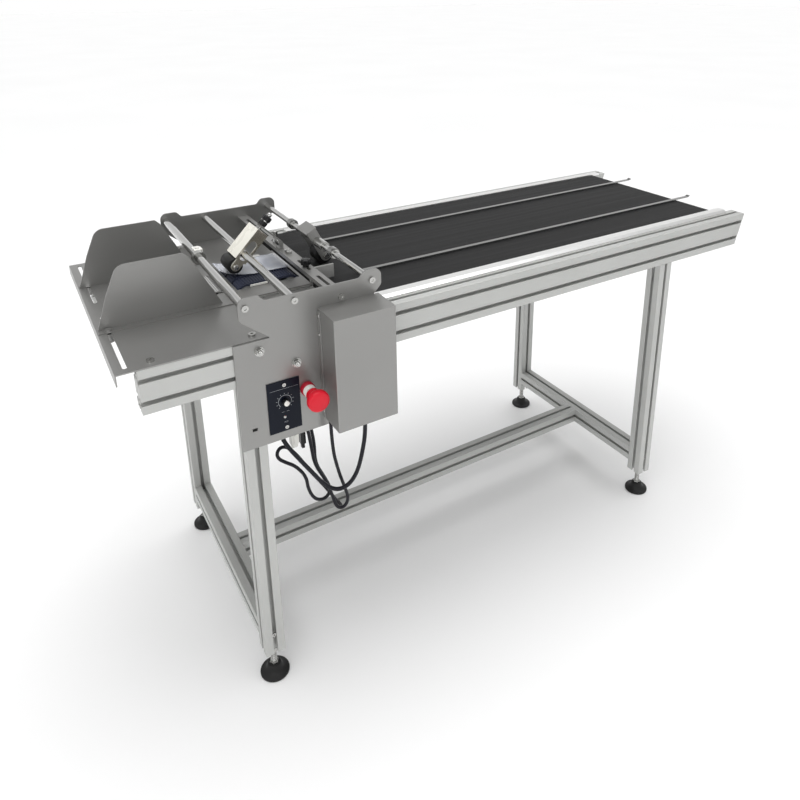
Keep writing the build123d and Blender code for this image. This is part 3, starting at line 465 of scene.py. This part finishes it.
def brick_mesh(bm, low, high):
    """Adds a block between two corners."""
    a, b = at(*low), at(*high)
    made = bmesh.ops.create_cube(bm, size=1.0)["verts"]
    for vert in made:
        vert.co = Vector(((a[i] + b[i]) / 2 + vert.co[i] * (b[i] - a[i]) for i in range(3)))


def bricks(name, corners, material, body, bevel):
    """A piece made of blocks, each between two corners."""
    bm = bmesh.new()
    for low, high in corners:
        brick_mesh(bm, low, high)
    return finish_piece(bm, name, material, body, bevel=bevel)


# ---------------------------------------------------------------- cables

# Routes in metres from the same corner as at(), with their diameters; the first point is the exit.
CABLES = {
    "cable_box_to_panel": (0.0080, 0.375, "object", [
        (0.370, -0.038, 0.566), (0.370, -0.038, 0.526), (0.361, -0.037, 0.480), (0.351, -0.035, 0.443),
        (0.334, -0.031, 0.418), (0.311, -0.027, 0.413), (0.288, -0.022, 0.432), (0.264, -0.015, 0.471),
        (0.242, -0.005, 0.506), (0.229, 0.005, 0.528), (0.222, 0.013, 0.553), (0.222, 0.013, 0.578)]),
    "cable_box_to_stop": (0.0065, 0.501, "object", [
        (0.308, -0.022, 0.566), (0.308, -0.022, 0.508), (0.319, -0.018, 0.450), (0.334, -0.014, 0.398),
        (0.340, -0.012, 0.376), (0.337, -0.011, 0.360), (0.326, -0.010, 0.353), (0.315, -0.008, 0.362),
        (0.311, -0.005, 0.385), (0.298, -0.002, 0.429), (0.282, 0.005, 0.463), (0.281, 0.013, 0.499),
        (0.277, 0.017, 0.540), (0.268, 0.022, 0.582), (0.268, 0.022, 0.620)]),
    "cable_tail": (0.0065, 0.641, "connector", [
        (0.279, 0.039, 0.620), (0.279, 0.039, 0.580), (0.290, 0.035, 0.532), (0.294, 0.029, 0.488),
        (0.290, 0.023, 0.452), (0.306, 0.016, 0.415), (0.315, 0.012, 0.388), (0.303, 0.010, 0.372),
        (0.281, 0.009, 0.379), (0.268, 0.009, 0.408), (0.266, 0.010, 0.439), (0.248, 0.012, 0.468),
        (0.229, 0.015, 0.482), (0.218, 0.018, 0.492), (0.216, 0.020, 0.503), (0.224, 0.023, 0.511),
        (0.237, 0.025, 0.507), (0.249, 0.026, 0.492), (0.262, 0.027, 0.471), (0.284, 0.027, 0.428),
        (0.311, 0.027, 0.384), (0.334, 0.026, 0.339)]),
}
WHITE_CONNECTOR = (((243, 12, 514), (258, 24, 540)), ((245, 13.5, 507), (256, 22.5, 514)),
                   ((248, 10.6, 518), (253, 12, 534)))
BLACK_PLUG = (((266, 24, 500), (276, 36, 528)), ((267.5, 25.5, 528), (274.5, 34.5, 536)),
              ((268, 26, 490), (274, 34, 500)))
# Foot and height of the short leads the two hang on.
LEADS = (((247, 18, 539.5), 39), ((271, 30, 535.5), 85))
LEAD_R = 2.4
TAIL_END = [(3.4, -1), (4.4, 0), (4.5, 1.2), (3.9, 1.8), (4.5, 2.4), (4.5, 3.6), (3.9, 4.2), (4.5, 4.8),
            (4.5, 12.5), (4.0, 13.6), (2.6, 14.0)]


def cable_curve(name, diameter, points):
    """A cable's cover, round its route, in place of the plain node of that name."""
    data = bpy.data.curves.new(name, "CURVE")
    data.dimensions = "3D"
    data.resolution_u = 12
    data.bevel_depth = diameter / 2
    data.bevel_resolution = 5
    data.use_fill_caps = True
    spline = data.splines.new("NURBS")
    spline.points.add(len(points) - 1)
    corner = at(0, 0, 0)
    for point, place in zip(spline.points, points):
        point.co = (*(corner + Vector(place)), 1)
    spline.order_u = 3
    spline.use_endpoint_u = True
    data.materials.append(cable_cover)
    piece = add_object(name + "_cover", data)
    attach(piece, "frame")
    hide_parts(name)
    return piece


def make_connectors():
    """The white connector and the black plug under the panel, hanging on short leads."""
    connector = bricks("white_connector", WHITE_CONNECTOR, white_plastic, "frame", 0.7)
    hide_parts("cable_plugs")
    bricks("black_plug", BLACK_PLUG, black_plastic, "frame", 0.8)
    leads = bmesh.new()
    for foot, height in LEADS:
        lathe_mesh(leads, [(LEAD_R, 0), (LEAD_R, height)], facing(foot, UPWARD), 20)
    finish_piece(leads, "connector_leads", cable_cover, "frame")


def make_cables():
    """The three cables, and the small connector on the tail's free end."""
    end_before, end = (Vector(p) / MM for p in CABLES["cable_tail"][3][-2:])
    tail_end = lathe("tail_connector", TAIL_END, end, end - end_before, black_plastic, "frame",
                     32)
    for name, (diameter, length, far_end, points) in CABLES.items():
        piece = cable_curve(name, diameter, points)


# ---------------------------------------------------------------- levelling feet

FOOT_PAD = [(27.4, 0), (28.6, 0.5), (29.0, 1.4), (29.0, 4.6), (28.4, 5.8), (26.8, 6.4), (22.5, 7.6),
            (18.6, 9.6), (16.2, 12.6), (14.8, 16.4), (13.8, 20.2), (13.0, 22.0), (11.6, 22.8), (9.8, 23.0)]
FOOT_PAD_TOP = 23
FOOT_NUT_R, FOOT_NUT_HEIGHT = 9.4, 5
FOOT_STEM_R, FOOT_STEM_TOP = 6.0, 120


def make_foot(name, x, y):
    """Rubber pad, and the threaded stem with its nut."""
    pad = lathe(f"{name}_pad", FOOT_PAD, (x, y, 0), UPWARD, black_rubber, name, 64)
    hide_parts("levelling_" + name)
    stem = bmesh.new()
    matrix = facing((x, y, 0), UPWARD)
    on_pad = matrix @ Matrix.Translation((0, 0, FOOT_PAD_TOP * MM))
    prism_mesh(stem, hexagon(FOOT_NUT_R), on_pad, FOOT_NUT_HEIGHT)
    lathe_mesh(stem, threaded(FOOT_STEM_R, FOOT_PAD_TOP + FOOT_NUT_HEIGHT, FOOT_STEM_TOP), matrix, 32)
    finish_piece(stem, f"{name}_stem", plated, name, bevel=0.3)


def make_feet():
    """A foot for each levelling foot of the frame."""
    for node in [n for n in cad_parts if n.startswith("levelling_foot_")]:
        low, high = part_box(node)
        middle = in_mm((low + high) / 2)
        make_foot(node.replace("levelling_", ""), middle.x, middle.y)


# ---------------------------------------------------------------- wheels and rollers


def tyre_profile(r, width, edge):
    """Profile of a tyre whose corners are rounded off over about edge."""
    half = width / 2
    front = [(r * 0.45, -half), (r - edge, -half), (r - edge * 0.3, -half + edge * 0.4),
             (r, -half + edge * 1.2)]
    return front + [(r, 0)] + [(reach, -height) for reach, height in reversed(front)]


def make_tyre(name, node, width, edge):
    """A rubber tyre in place of a wheel's node; gives the wheel's centre."""
    low, high = box_mm(node)
    centre = (low + high) / 2
    profile = tyre_profile((high.z - low.z) / 2, width, edge)
    tyre = lathe(name, profile, centre, TO_REAR, black_rubber, node, 72)
    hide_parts(node)
    return centre


KICKER_TYRE_WIDTH = 35.0
KICKER_HUB_R, KICKER_HUB_HALF = 7.0, 23.2
KICKER_BOLT_HALF, KICKER_BOLT_R = 30.5, 4.0
# Size over the flats, and height, of the bolt's head and of its nut.
KICKER_HEAD_FLATS, KICKER_HEAD_HEIGHT = 11.0, 4.5


def make_kicker_wheel():
    """Rubber tyre, hub, and the bolt they turn on."""
    centre = make_tyre("kicker_tyre", "kicker_wheel", KICKER_TYRE_WIDTH, 2.4)
    axle = bmesh.new()
    across = facing(centre, TO_REAR)
    lathe_mesh(axle, [(KICKER_BOLT_R, -KICKER_BOLT_HALF), (KICKER_BOLT_R, KICKER_BOLT_HALF)], across, 24)
    for start in (centre.y - KICKER_BOLT_HALF - KICKER_HEAD_HEIGHT * 0.2,
                  centre.y + KICKER_BOLT_HALF - KICKER_HEAD_HEIGHT * 0.8):
        prism_mesh(axle, hexagon(KICKER_HEAD_FLATS / math.sqrt(3)),
                   facing((centre.x, start, centre.z), TO_REAR), KICKER_HEAD_HEIGHT)
    lathe_mesh(axle, [(KICKER_HUB_R, -KICKER_HUB_HALF), (KICKER_HUB_R, KICKER_HUB_HALF)], across, 32)
    finish_piece(axle, "kicker_axle", plated, "kicker_wheel", bevel=0.4)


SEPARATOR_AXLE_R = 3.9
SEPARATOR_SIDE_GAP = 3.4
# Rounded axle end: (radius, height over the housing's cheek).
SEPARATOR_AXLE_END = [(2.6, 0.3), (5.8, 0.3), (6.0, 1.0), (5.6, 2.6), (4.2, 3.6), (2.4, 4.0)]


def make_separator_roller():
    """Rubber tyre between the housing's cheeks, and its axle with rounded ends."""
    housing_low, housing_high = box_mm("separator_housing")
    width = housing_high.y - housing_low.y
    centre = make_tyre("separator_tyre", "separator_roller", width - 2 * SEPARATOR_SIDE_GAP, 1.4)
    axle = bmesh.new()
    half = width / 2
    shaft = [(SEPARATOR_AXLE_R, -half - 1), (SEPARATOR_AXLE_R, half + 1)]
    lathe_mesh(axle, shaft, facing(centre, TO_REAR), 24)
    head = [(reach, half + out) for reach, out in SEPARATOR_AXLE_END]
    for side in (TO_FRONT, TO_REAR):
        lathe_mesh(axle, head, facing(centre, side), 32)
    finish_piece(axle, "separator_axle", plated, "separator_roller")


# ---------------------------------------------------------------- knobs


def fluted_knob(bm, matrix, r, height, flutes, depth):
    """Adds a lobed hand knob with a rounded top to bm."""
    points_per_flute = 8

    def lobed(k, radius):
        wave = 0.5 - 0.5 * math.cos(2 * math.pi * k / points_per_flute)
        return radius - depth * wave * (radius / r)

    profile = [(r * 0.8, 0), (r * 0.96, 0.6), (r, 1.6), (r, height - 2.4), (r * 0.95, height - 1.2),
               (r * 0.82, height - 0.3), (r * 0.6, height)]
    lathe_mesh(bm, profile, matrix, flutes * points_per_flute, lobed)


# Heights along the adjuster are measured from the separator rod's middle.
# Each grip: its foot, radius, height and number of flutes.
SEPARATOR_GRIPS = ((65.5, 8.6, 10.5, 9), (77.0, 10.0, 11.5, 10))
STEM_FOOT, STEM_TOP = 46, 90
STEM_WASHER = [(4.6, 75.6), (8.2, 75.6), (8.2, 77.4), (4.6, 77.4)]
STEM_CAP = [(4.4, 88), (4.8, 88.6), (4.8, 94.4), (4.2, 95.4), (2.0, 96.0)]


def make_separator_knob():
    """Two black grips on a threaded stem that leans to the outfeed end at 45 degrees."""
    rod_low, rod_high = box_mm("separator_rod")
    housing_low, housing_high = box_mm("separator_housing")
    start = Vector(((rod_low.x + rod_high.x) / 2, (housing_low.y + housing_high.y) / 2,
                    (rod_low.z + rod_high.z) / 2))
    tilt = Vector((1, 0, 1)).normalized()
    grip = bmesh.new()
    for foot, r, height, flutes in SEPARATOR_GRIPS:
        fluted_knob(grip, facing(start + foot * tilt, tilt), r, height, flutes, 1.0)
    piece = finish_piece(grip, "separator_grip", black_plastic, "separator_knob",
                         bevel=0.2)
    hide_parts("separator_knob")
    stem = bmesh.new()
    along = facing(start, tilt)
    lathe_mesh(stem, threaded(4.0, STEM_FOOT, STEM_TOP, 1.25, 0.5), along, 28)
    lathe_mesh(stem, STEM_WASHER, along, 32)
    lathe_mesh(stem, STEM_CAP, along, 32)
    finish_piece(stem, "separator_stem", polished, "separator_knob")


CLAMP_GRIP_HEIGHT = 12
CLAMP_NUT_LIFT, CLAMP_NUT_HEIGHT = 0.6, 4.6
# Collar under the clamp's grip: (radius, height from the grip's top).
CLAMP_COLLAR = [(6.0, -16.0), (6.0, -12.6), (7.4, -12.0)]


def make_clamp_knob():
    """Black grip on a small threaded stud with its nut."""
    low, high = box_mm("bar_clamp_knob")
    x, y = (low.x + high.x) / 2, (low.y + high.y) / 2
    grip = bmesh.new()
    fluted_knob(grip, facing((x, y, high.z - CLAMP_GRIP_HEIGHT), UPWARD), 10.0, CLAMP_GRIP_HEIGHT, 8, 1.1)
    lathe_mesh(grip, CLAMP_COLLAR, facing((x, y, high.z), UPWARD), 32)
    piece = finish_piece(grip, "clamp_grip", black_plastic, "bar_clamp_knob", bevel=0.2)
    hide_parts("bar_clamp_knob")
    stud = bmesh.new()
    stud_height = high.z - low.z - CLAMP_GRIP_HEIGHT - 2
    lathe_mesh(stud, threaded(3.0, 0, stud_height, 1.0, 0.4), facing((x, y, low.z), UPWARD), 20)
    prism_mesh(stud, hexagon(5.8), facing((x, y, low.z + CLAMP_NUT_LIFT), UPWARD), CLAMP_NUT_HEIGHT)
    finish_piece(stud, "clamp_stud", plated, "bar_clamp_knob", bevel=0.2)


# ---------------------------------------------------------------- controls

# Middle of the speed dial, on the control panel's face.
DIAL = Vector((231.0, -5.0, 622.0))
DIAL_START, DIAL_TURN = math.radians(225), math.radians(-270)
DIAL_ARC_STEPS, DIAL_ARC_INNER, DIAL_ARC_OUTER = 40, 11.6, 12.5
DIAL_TICKS, TICK_INNER, TICK_OUTER, TICK_HALF_WIDTH = 10, 14.2, 16.4, 0.45
# Plain printed lines: left end, right end and height, each from the dial's middle.
PRINTED_LINES = ((-26, 26, 25.0), (-7, -2, -21.0), (2, 7, -21.0), (-3.5, 3.5, -41.0), (-3.5, 3.5, -43.0))
LINE_HEIGHT = 0.45
PRINT_LIFT, PRINT_THICKNESS = 0.12, 0.1
SPEED_KNOB_GAP = 0.3
SPEED_KNOB_CAP = [(4.6, 8.6), (4.9, 9.2), (4.8, 10.4), (4.2, 11.2), (2.0, 11.7)]
PANEL_LAMP = [(2.6, 0), (2.6, 0.8), (2.1, 1.2), (1.9, 2.0), (0.8, 2.4)]


def make_speed_knob():
    """Fluted black knob with a pale cap and pointer."""
    skirt = bmesh.new()
    matrix = facing((DIAL.x, DIAL.y - SPEED_KNOB_GAP, DIAL.z), TO_FRONT)
    fluted_knob(skirt, matrix, 6.5, 9.0, 12, 0.5)
    piece = finish_piece(skirt, "speed_knob_body", black_plastic, "speed_knob", bevel=0.15)
    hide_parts("speed_knob")
    cap = bmesh.new()
    lathe_mesh(cap, SPEED_KNOB_CAP, matrix, 36)
    brick_mesh(cap, DIAL + Vector((-0.5, -12.0, 1.0)), DIAL + Vector((0.5, -9.2, 6.2)))
    finish_piece(cap, "speed_knob_cap", white_plastic, "speed_knob", bevel=0.15)


def make_dial_marks():
    """Arc, ticks and small plain lines printed on the panel, and the lamp under them."""
    marks = bmesh.new()

    def flat_mark(corners):
        """Adds a face through (x, z) corners measured from the dial's middle."""
        face_y = DIAL.y - PRINT_LIFT
        marks.faces.new([marks.verts.new(at(DIAL.x + x, face_y, DIAL.z + z)) for x, z in corners])

    for k in range(DIAL_ARC_STEPS):
        a0, a1 = (DIAL_START + DIAL_TURN * (k + end) / DIAL_ARC_STEPS for end in (0, 1))
        flat_mark([(r * math.cos(angle), r * math.sin(angle))
                   for angle, r in ((a0, DIAL_ARC_INNER), (a1, DIAL_ARC_INNER),
                                    (a1, DIAL_ARC_OUTER), (a0, DIAL_ARC_OUTER))])
    for k in range(DIAL_TICKS + 1):
        angle = DIAL_START + DIAL_TURN * k / DIAL_TICKS
        out = Vector((math.cos(angle), math.sin(angle)))
        aside = Vector((-math.sin(angle), math.cos(angle))) * TICK_HALF_WIDTH
        flat_mark([out * TICK_INNER - aside, out * TICK_OUTER - aside, out * TICK_OUTER + aside,
                   out * TICK_INNER + aside])
    for x0, x1, z in PRINTED_LINES:
        flat_mark([(x0, z), (x1, z), (x1, z + LINE_HEIGHT), (x0, z + LINE_HEIGHT)])
    piece = finish_piece(marks, "dial_marks", white_print, "frame")
    add_thickness(piece, PRINT_THICKNESS)
    lathe("panel_lamp", PANEL_LAMP, DIAL - Vector((2, 0, 31)), TO_FRONT, plated, "frame",
          28)


PLATE_FACE_Y = -3.0
# Heights over the plate's face.
STOP_COLLAR = [(12.4, 0), (13.0, 0.6), (13.0, 9.0), (12.2, 10.4), (11.6, 10.8)]
STOP_NECK = [(11.4, 10.4), (11.4, 19.6), (10.8, 20.6), (9.4, 21.0)]
# Heights from the mushroom's top towards the plate.
STOP_MUSHROOM = [(0.01, 0), (8.0, 0.15), (14.0, 0.6), (17.2, 1.5), (19.0, 3.0), (19.9, 5.2), (20.0, 8.0),
                 (20.0, 12.6), (19.2, 14.6), (17.0, 16.2), (14.2, 17.6), (12.8, 19.6), (12.4, 23.0),
                 (12.3, 33.4), (11.6, 34.0)]
STOP_SHAFT_R, STOP_SHAFT_START = 4.9, 33.0
# Blocks behind the plate; their corners are measured from the button's axis in x and z.
STOP_BLOCKS = (((-16, 0.2, -14), (14, 33, 16)), ((-15, 33, -12.5), (13, 45, 14.5)))
STOP_NUT = [(12.5, 0), (12.5, 3.6)]


def make_stop():
    """Emergency stop: red collar, pale neck, contact block behind the plate, and the red mushroom head."""
    head_low, head_high = box_mm("emergency_stop_head")
    x, z = (head_low.x + head_high.x) / 2, (head_low.z + head_high.z) / 2
    seat = (x, PLATE_FACE_Y, z)
    collar = lathe("stop_collar", STOP_COLLAR, seat, TO_FRONT, base_red, "frame")
    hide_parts("emergency_stop_base")
    lathe("stop_neck", STOP_NECK, seat, TO_FRONT, white_plastic, "frame")
    back = bmesh.new()
    for corners in STOP_BLOCKS:
        brick_mesh(back, *((x + across, y, z + up) for across, y, up in corners))
    lathe_mesh(back, STOP_NUT, facing((x, 0.2, z), TO_REAR), 36)
    finish_piece(back, "stop_contact_block", black_plastic, "frame", bevel=0.8)
    top = (x, head_low.y, z)
    head = lathe("stop_mushroom", STOP_MUSHROOM, top, TO_REAR, stop_red, "stop_head", 72)
    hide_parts("emergency_stop_head")
    shaft = [(STOP_SHAFT_R, STOP_SHAFT_START), (STOP_SHAFT_R, head_high.y - head_low.y)]
    lathe("stop_shaft", shaft, top, TO_REAR, plated, "stop_head", 24)


# ---------------------------------------------------------------- small metal and plastic pieces

CAP_SLANT, CAP_PROUD, CAP_THICKNESS, CAP_INSET = 25.0, 0.5, 2.2, 0.3
CAP_SCREW = [(3.4, 0), (3.3, 0.8), (2.4, 1.3), (1.6, 1.4), (1.5, 0.9)]


def make_rail_caps():
    """Thin end plates that close the rails' slanted outfeed ends, each with two small screws."""
    for name, node in (("rail_cap_front", "front_rail"), ("rail_cap_rear", "rear_rail")):
        low, high = box_mm(node)
        end, foot = high.x + CAP_PROUD, high.x - CAP_SLANT + CAP_PROUD
        bottom, top = low.z + CAP_INSET, high.z - CAP_INSET
        cap = bmesh.new()
        outline = [(foot, bottom), (end, top), (end - CAP_THICKNESS, top), (foot - CAP_THICKNESS, bottom)]
        slab_mesh(cap, outline, low.y + CAP_INSET, high.y - CAP_INSET)
        finish_piece(cap, name, along_y, "frame", bevel=0.5)
        screws = bmesh.new()
        for share in (0.25, 0.75):
            centre = (foot + (end - foot) * share, (low.y + high.y) / 2, low.z + (high.z - low.z) * share)
            lathe_mesh(screws, CAP_SCREW, facing(centre, (high.z - low.z, 0, -CAP_SLANT)), 28)
        finish_piece(screws, name + "_screws", plated, "frame")


# (x, z) of the rail bolts on the side plates.
PLATE_BOLTS = ((194, 730), (258, 690))
BOLT_R, BOLT_NUT_R, BOLT_NUT_TURN = 3.9, 7.4, 0.3
BOLT_WASHER = [(8.6, 0.1), (8.6, 1.5)]
# Height of the nut and reach of the bolt's end. The rear ones are short: nothing there stands out further.
FRONT_NUT, FRONT_REACH = 6.5, 12.5
REAR_NUT, REAR_REACH = 3.6, 5.8


def make_plate_bolts():
    """Hex nuts with their threaded ends on both side plates, over the rail bolts."""
    bolts = bmesh.new()
    front, rear = box_mm("side_plate_front")[0].y, box_mm("side_plate_rear")[1].y
    for x, z in PLATE_BOLTS:
        for y, outward, nut, reach in ((front, TO_FRONT, FRONT_NUT, FRONT_REACH),
                                       (rear, TO_REAR, REAR_NUT, REAR_REACH)):
            face = facing((x, y, z), outward)
            prism_mesh(bolts, hexagon(BOLT_NUT_R, BOLT_NUT_TURN), face, nut)
            lathe_mesh(bolts, BOLT_WASHER, face, 32)
            lathe_mesh(bolts, threaded(BOLT_R, nut - 0.1, reach, 1.25, 0.5), face, 24)
    finish_piece(bolts, "plate_bolts", plated, "frame", bevel=0.3)


RIVET = [(3.2, 0), (3.1, 0.7), (2.2, 1.5), (0.6, 1.8)]
RIVET_Y = -8.4
# The flange reaches across the conveyor between these two.
FLANGE_FRONT, FLANGE_REAR = -13.5, -3.2
FLANGE_THICKNESS = 1.4


def make_box_details():
    """Flange and rivets of the control box."""
    low, high = box_mm("control_box_lid")
    flange = ((low.x - FLANGE_THICKNESS, FLANGE_FRONT, low.z + 3), (low.x + 0.2, FLANGE_REAR, high.z - 4))
    bricks("box_flange", [flange], sheet_z, "frame", 0.5)
    rivets = bmesh.new()
    for z in (high.z - 14, high.z - 50, low.z + 50, low.z + 14):
        for x, toward in ((low.x - FLANGE_THICKNESS + 0.1, -1), (high.x, 1)):
            lathe_mesh(rivets, RIVET, facing((x, RIVET_Y, z), (toward, 0, 0)), 24)
    finish_piece(rivets, "box_rivets", plated, "frame")


def make_rod_clip():
    """White plastic clip with its clamp screw on the infeed tie rod."""
    low, high = box_mm("infeed_tie_rod")
    x, z = (low.x + high.x) / 2, (low.z + high.z) / 2
    blocks = (((x - 4, 283, z + 7.5), (x + 10, 307, z + 12.5)),
              ((x + 8, 286, z + 1), (x + 12.5, 304, z + 12)),
              ((x - 1, 289, z + 12), (x + 6, 297, z + 15.5)))
    bricks("rod_clip", blocks, white_plastic, "frame", 1.2)


BAR_STUD_Y = 318


def make_bar_stud():
    """Small upright stud with its nut and cap on the cross bar."""
    low, high = box_mm("slotted_cross_bar")
    x = (low.x + high.x) / 2
    stud = bmesh.new()
    lathe_mesh(stud, threaded(3.0, 0, 32, 1.0, 0.4), facing((x, BAR_STUD_Y, high.z - 6), UPWARD), 24)
    prism_mesh(stud, hexagon(6.4), facing((x, BAR_STUD_Y, high.z), UPWARD), 5.2)
    cap = [(5.2, 0), (5.2, 13), (4.6, 13.8)]
    lathe_mesh(stud, cap, facing((x, BAR_STUD_Y, high.z + 12), UPWARD), 28)
    finish_piece(stud, "bar_stud", plated, "frame", bevel=0.25)


def make_wear_strip():
    """Pale wear strip on the feed table beside the feed belts."""
    top = box_mm("feed_table")[1].z
    bricks("table_wear_strip", [((253, 207, top), (288, 209.6, top + 4.0))], white_plastic, "frame",
           0.5)


FILM_THICKNESS, FILM_DROP, FILM_CURL = 0.5, 5.3, 4.2
# The curl takes up this share of the film's length, and its cut-back front corner that one.
FILM_CURL_SHARE, FILM_CORNER_SHARE = 0.16, 0.5
FILM_CORNER = 42.0
FILM_STEPS_ALONG, FILM_STEPS_ACROSS = 24, 12
FILM_BRACKET_WIDTH = 10


def make_film():
    """Clear film over the feed belts.

    It lies level over the belts, rises in a gentle curve at the infeed, and hangs on a small bracket.
    """
    low, high = box_mm("film_guard")
    bm = bmesh.new()
    rear = high.y - FILM_BRACKET_WIDTH - 0.5
    grid = []
    for i in range(FILM_STEPS_ALONG + 1):
        share = i / FILM_STEPS_ALONG
        x = low.x + 1.0 + (high.x - low.x - 1.6) * share
        z = high.z - FILM_DROP + FILM_CURL * max(0.0, 1 - share / FILM_CURL_SHARE) ** 2
        front = low.y + 0.2 + FILM_CORNER * max(0.0, 1 - share / FILM_CORNER_SHARE) ** 2
        grid.append([bm.verts.new(at(x, front + (rear - front) * k / FILM_STEPS_ACROSS, z))
                     for k in range(FILM_STEPS_ACROSS + 1)])
    for row, after in zip(grid, grid[1:]):
        for k in range(FILM_STEPS_ACROSS):
            bm.faces.new((row[k], after[k], after[k + 1], row[k + 1]))
    film = finish_piece(bm, "feed_film", clear_film, "frame")
    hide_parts("film_guard")
    add_thickness(film, FILM_THICKNESS)
    bracket = ((270, high.y - FILM_BRACKET_WIDTH, 758), (320, high.y, high.z - 5))
    bricks("film_bracket", [bracket], milled, "frame", 0.6)


make_connectors()
make_cables()
make_feet()
make_kicker_wheel()
make_separator_roller()
make_separator_knob()
make_clamp_knob()
make_speed_knob()
make_dial_marks()
make_stop()
make_rail_caps()
make_plate_bolts()
make_box_details()
make_rod_clip()
make_bar_stud()
make_wear_strip()
make_film()

# ---------------------------------------------------------------- floor, light and surroundings

# The floor lies a little lower than the feet, so that their undersides stay clear of it. Both in metres.
FLOOR_DROP, FLOOR_SIZE = 0.0005, 40.0


def make_stage():
    """The plain pale floor."""
    bm = bmesh.new()
    bmesh.ops.create_grid(bm, x_segments=1, y_segments=1, size=FLOOR_SIZE)
    mesh = bpy.data.meshes.new("floor")
    bm.to_mesh(mesh)
    bm.free()
    floor = add_object("floor", mesh)
    floor.location.z = -FLOOR_DROP
    n = Nodes("floor_white")
    n.drive("Base Color", n.between(n.noise(n.place, 0.8, 2.0), (0.93, 0.93, 0.93), (0.95, 0.95, 0.95)))
    n.set(Roughness=0.9, Specular_IOR_Level=0.1)
    mesh.materials.append(n.material)


def area_light(name, place, target, size, power):
    """A rectangular light; place, target and size in metres, power in watts."""
    data = bpy.data.lights.new(name, "AREA")
    data.shape = "RECTANGLE"
    data.size, data.size_y = size
    data.energy = power
    light = add_object(name, data)
    light.location = place
    light.rotation_euler = (Vector(target) - Vector(place)).to_track_quat("-Z", "Y").to_euler()


# Brightness of the studio by the sine of the angle looked up at (0 is level, 1 straight up):
# pale walls, a dark band, and a wide ceiling light.
SKY = ((0.0, 0.92), (0.32, 0.85), (0.52, 0.62), (0.63, 0.10), (0.73, 0.10), (0.8, 1.9), (1.0, 1.9))
SKY_TOP = 1.9


def make_world():
    """White behind the object; it is lit mostly from above, with a dark band for the metal to reflect."""
    world = bpy.data.worlds.new("studio")
    bpy.context.scene.world = world
    world.use_nodes = True
    tree = world.node_tree
    tree.nodes.clear()
    out = tree.nodes.new("ShaderNodeOutputWorld")
    mix = tree.nodes.new("ShaderNodeMixShader")
    seen = tree.nodes.new("ShaderNodeBackground")
    lit = tree.nodes.new("ShaderNodeBackground")
    path = tree.nodes.new("ShaderNodeLightPath")
    place = tree.nodes.new("ShaderNodeTexCoord")
    split = tree.nodes.new("ShaderNodeSeparateXYZ")
    ramp = tree.nodes.new("ShaderNodeValToRGB")
    while len(ramp.color_ramp.elements) < len(SKY):
        ramp.color_ramp.elements.new(0.5)
    for element, (height, level) in zip(ramp.color_ramp.elements, SKY):
        element.position = height
        element.color = (level / SKY_TOP, level / SKY_TOP, level / SKY_TOP, 1)
    lit.inputs["Strength"].default_value = SKY_TOP
    seen.inputs["Color"].default_value = (1, 1, 1, 1)
    tree.links.new(place.outputs["Generated"], split.inputs[0])
    tree.links.new(split.outputs["Z"], ramp.inputs["Fac"])
    tree.links.new(ramp.outputs["Color"], lit.inputs["Color"])
    tree.links.new(path.outputs["Is Camera Ray"], mix.inputs[0])
    tree.links.new(lit.outputs[0], mix.inputs[1])
    tree.links.new(seen.outputs[0], mix.inputs[2])
    tree.links.new(mix.outputs[0], out.inputs["Surface"])


make_stage()
make_world()
area_light("overhead", (0.2, 0.3, 3.2), (0.2, 0, 0.6), (3.4, 2.4), 20)
area_light("front_left", (-2.4, -2.6, 1.9), (0, 0, 0.6), (1.8, 1.6), 14)
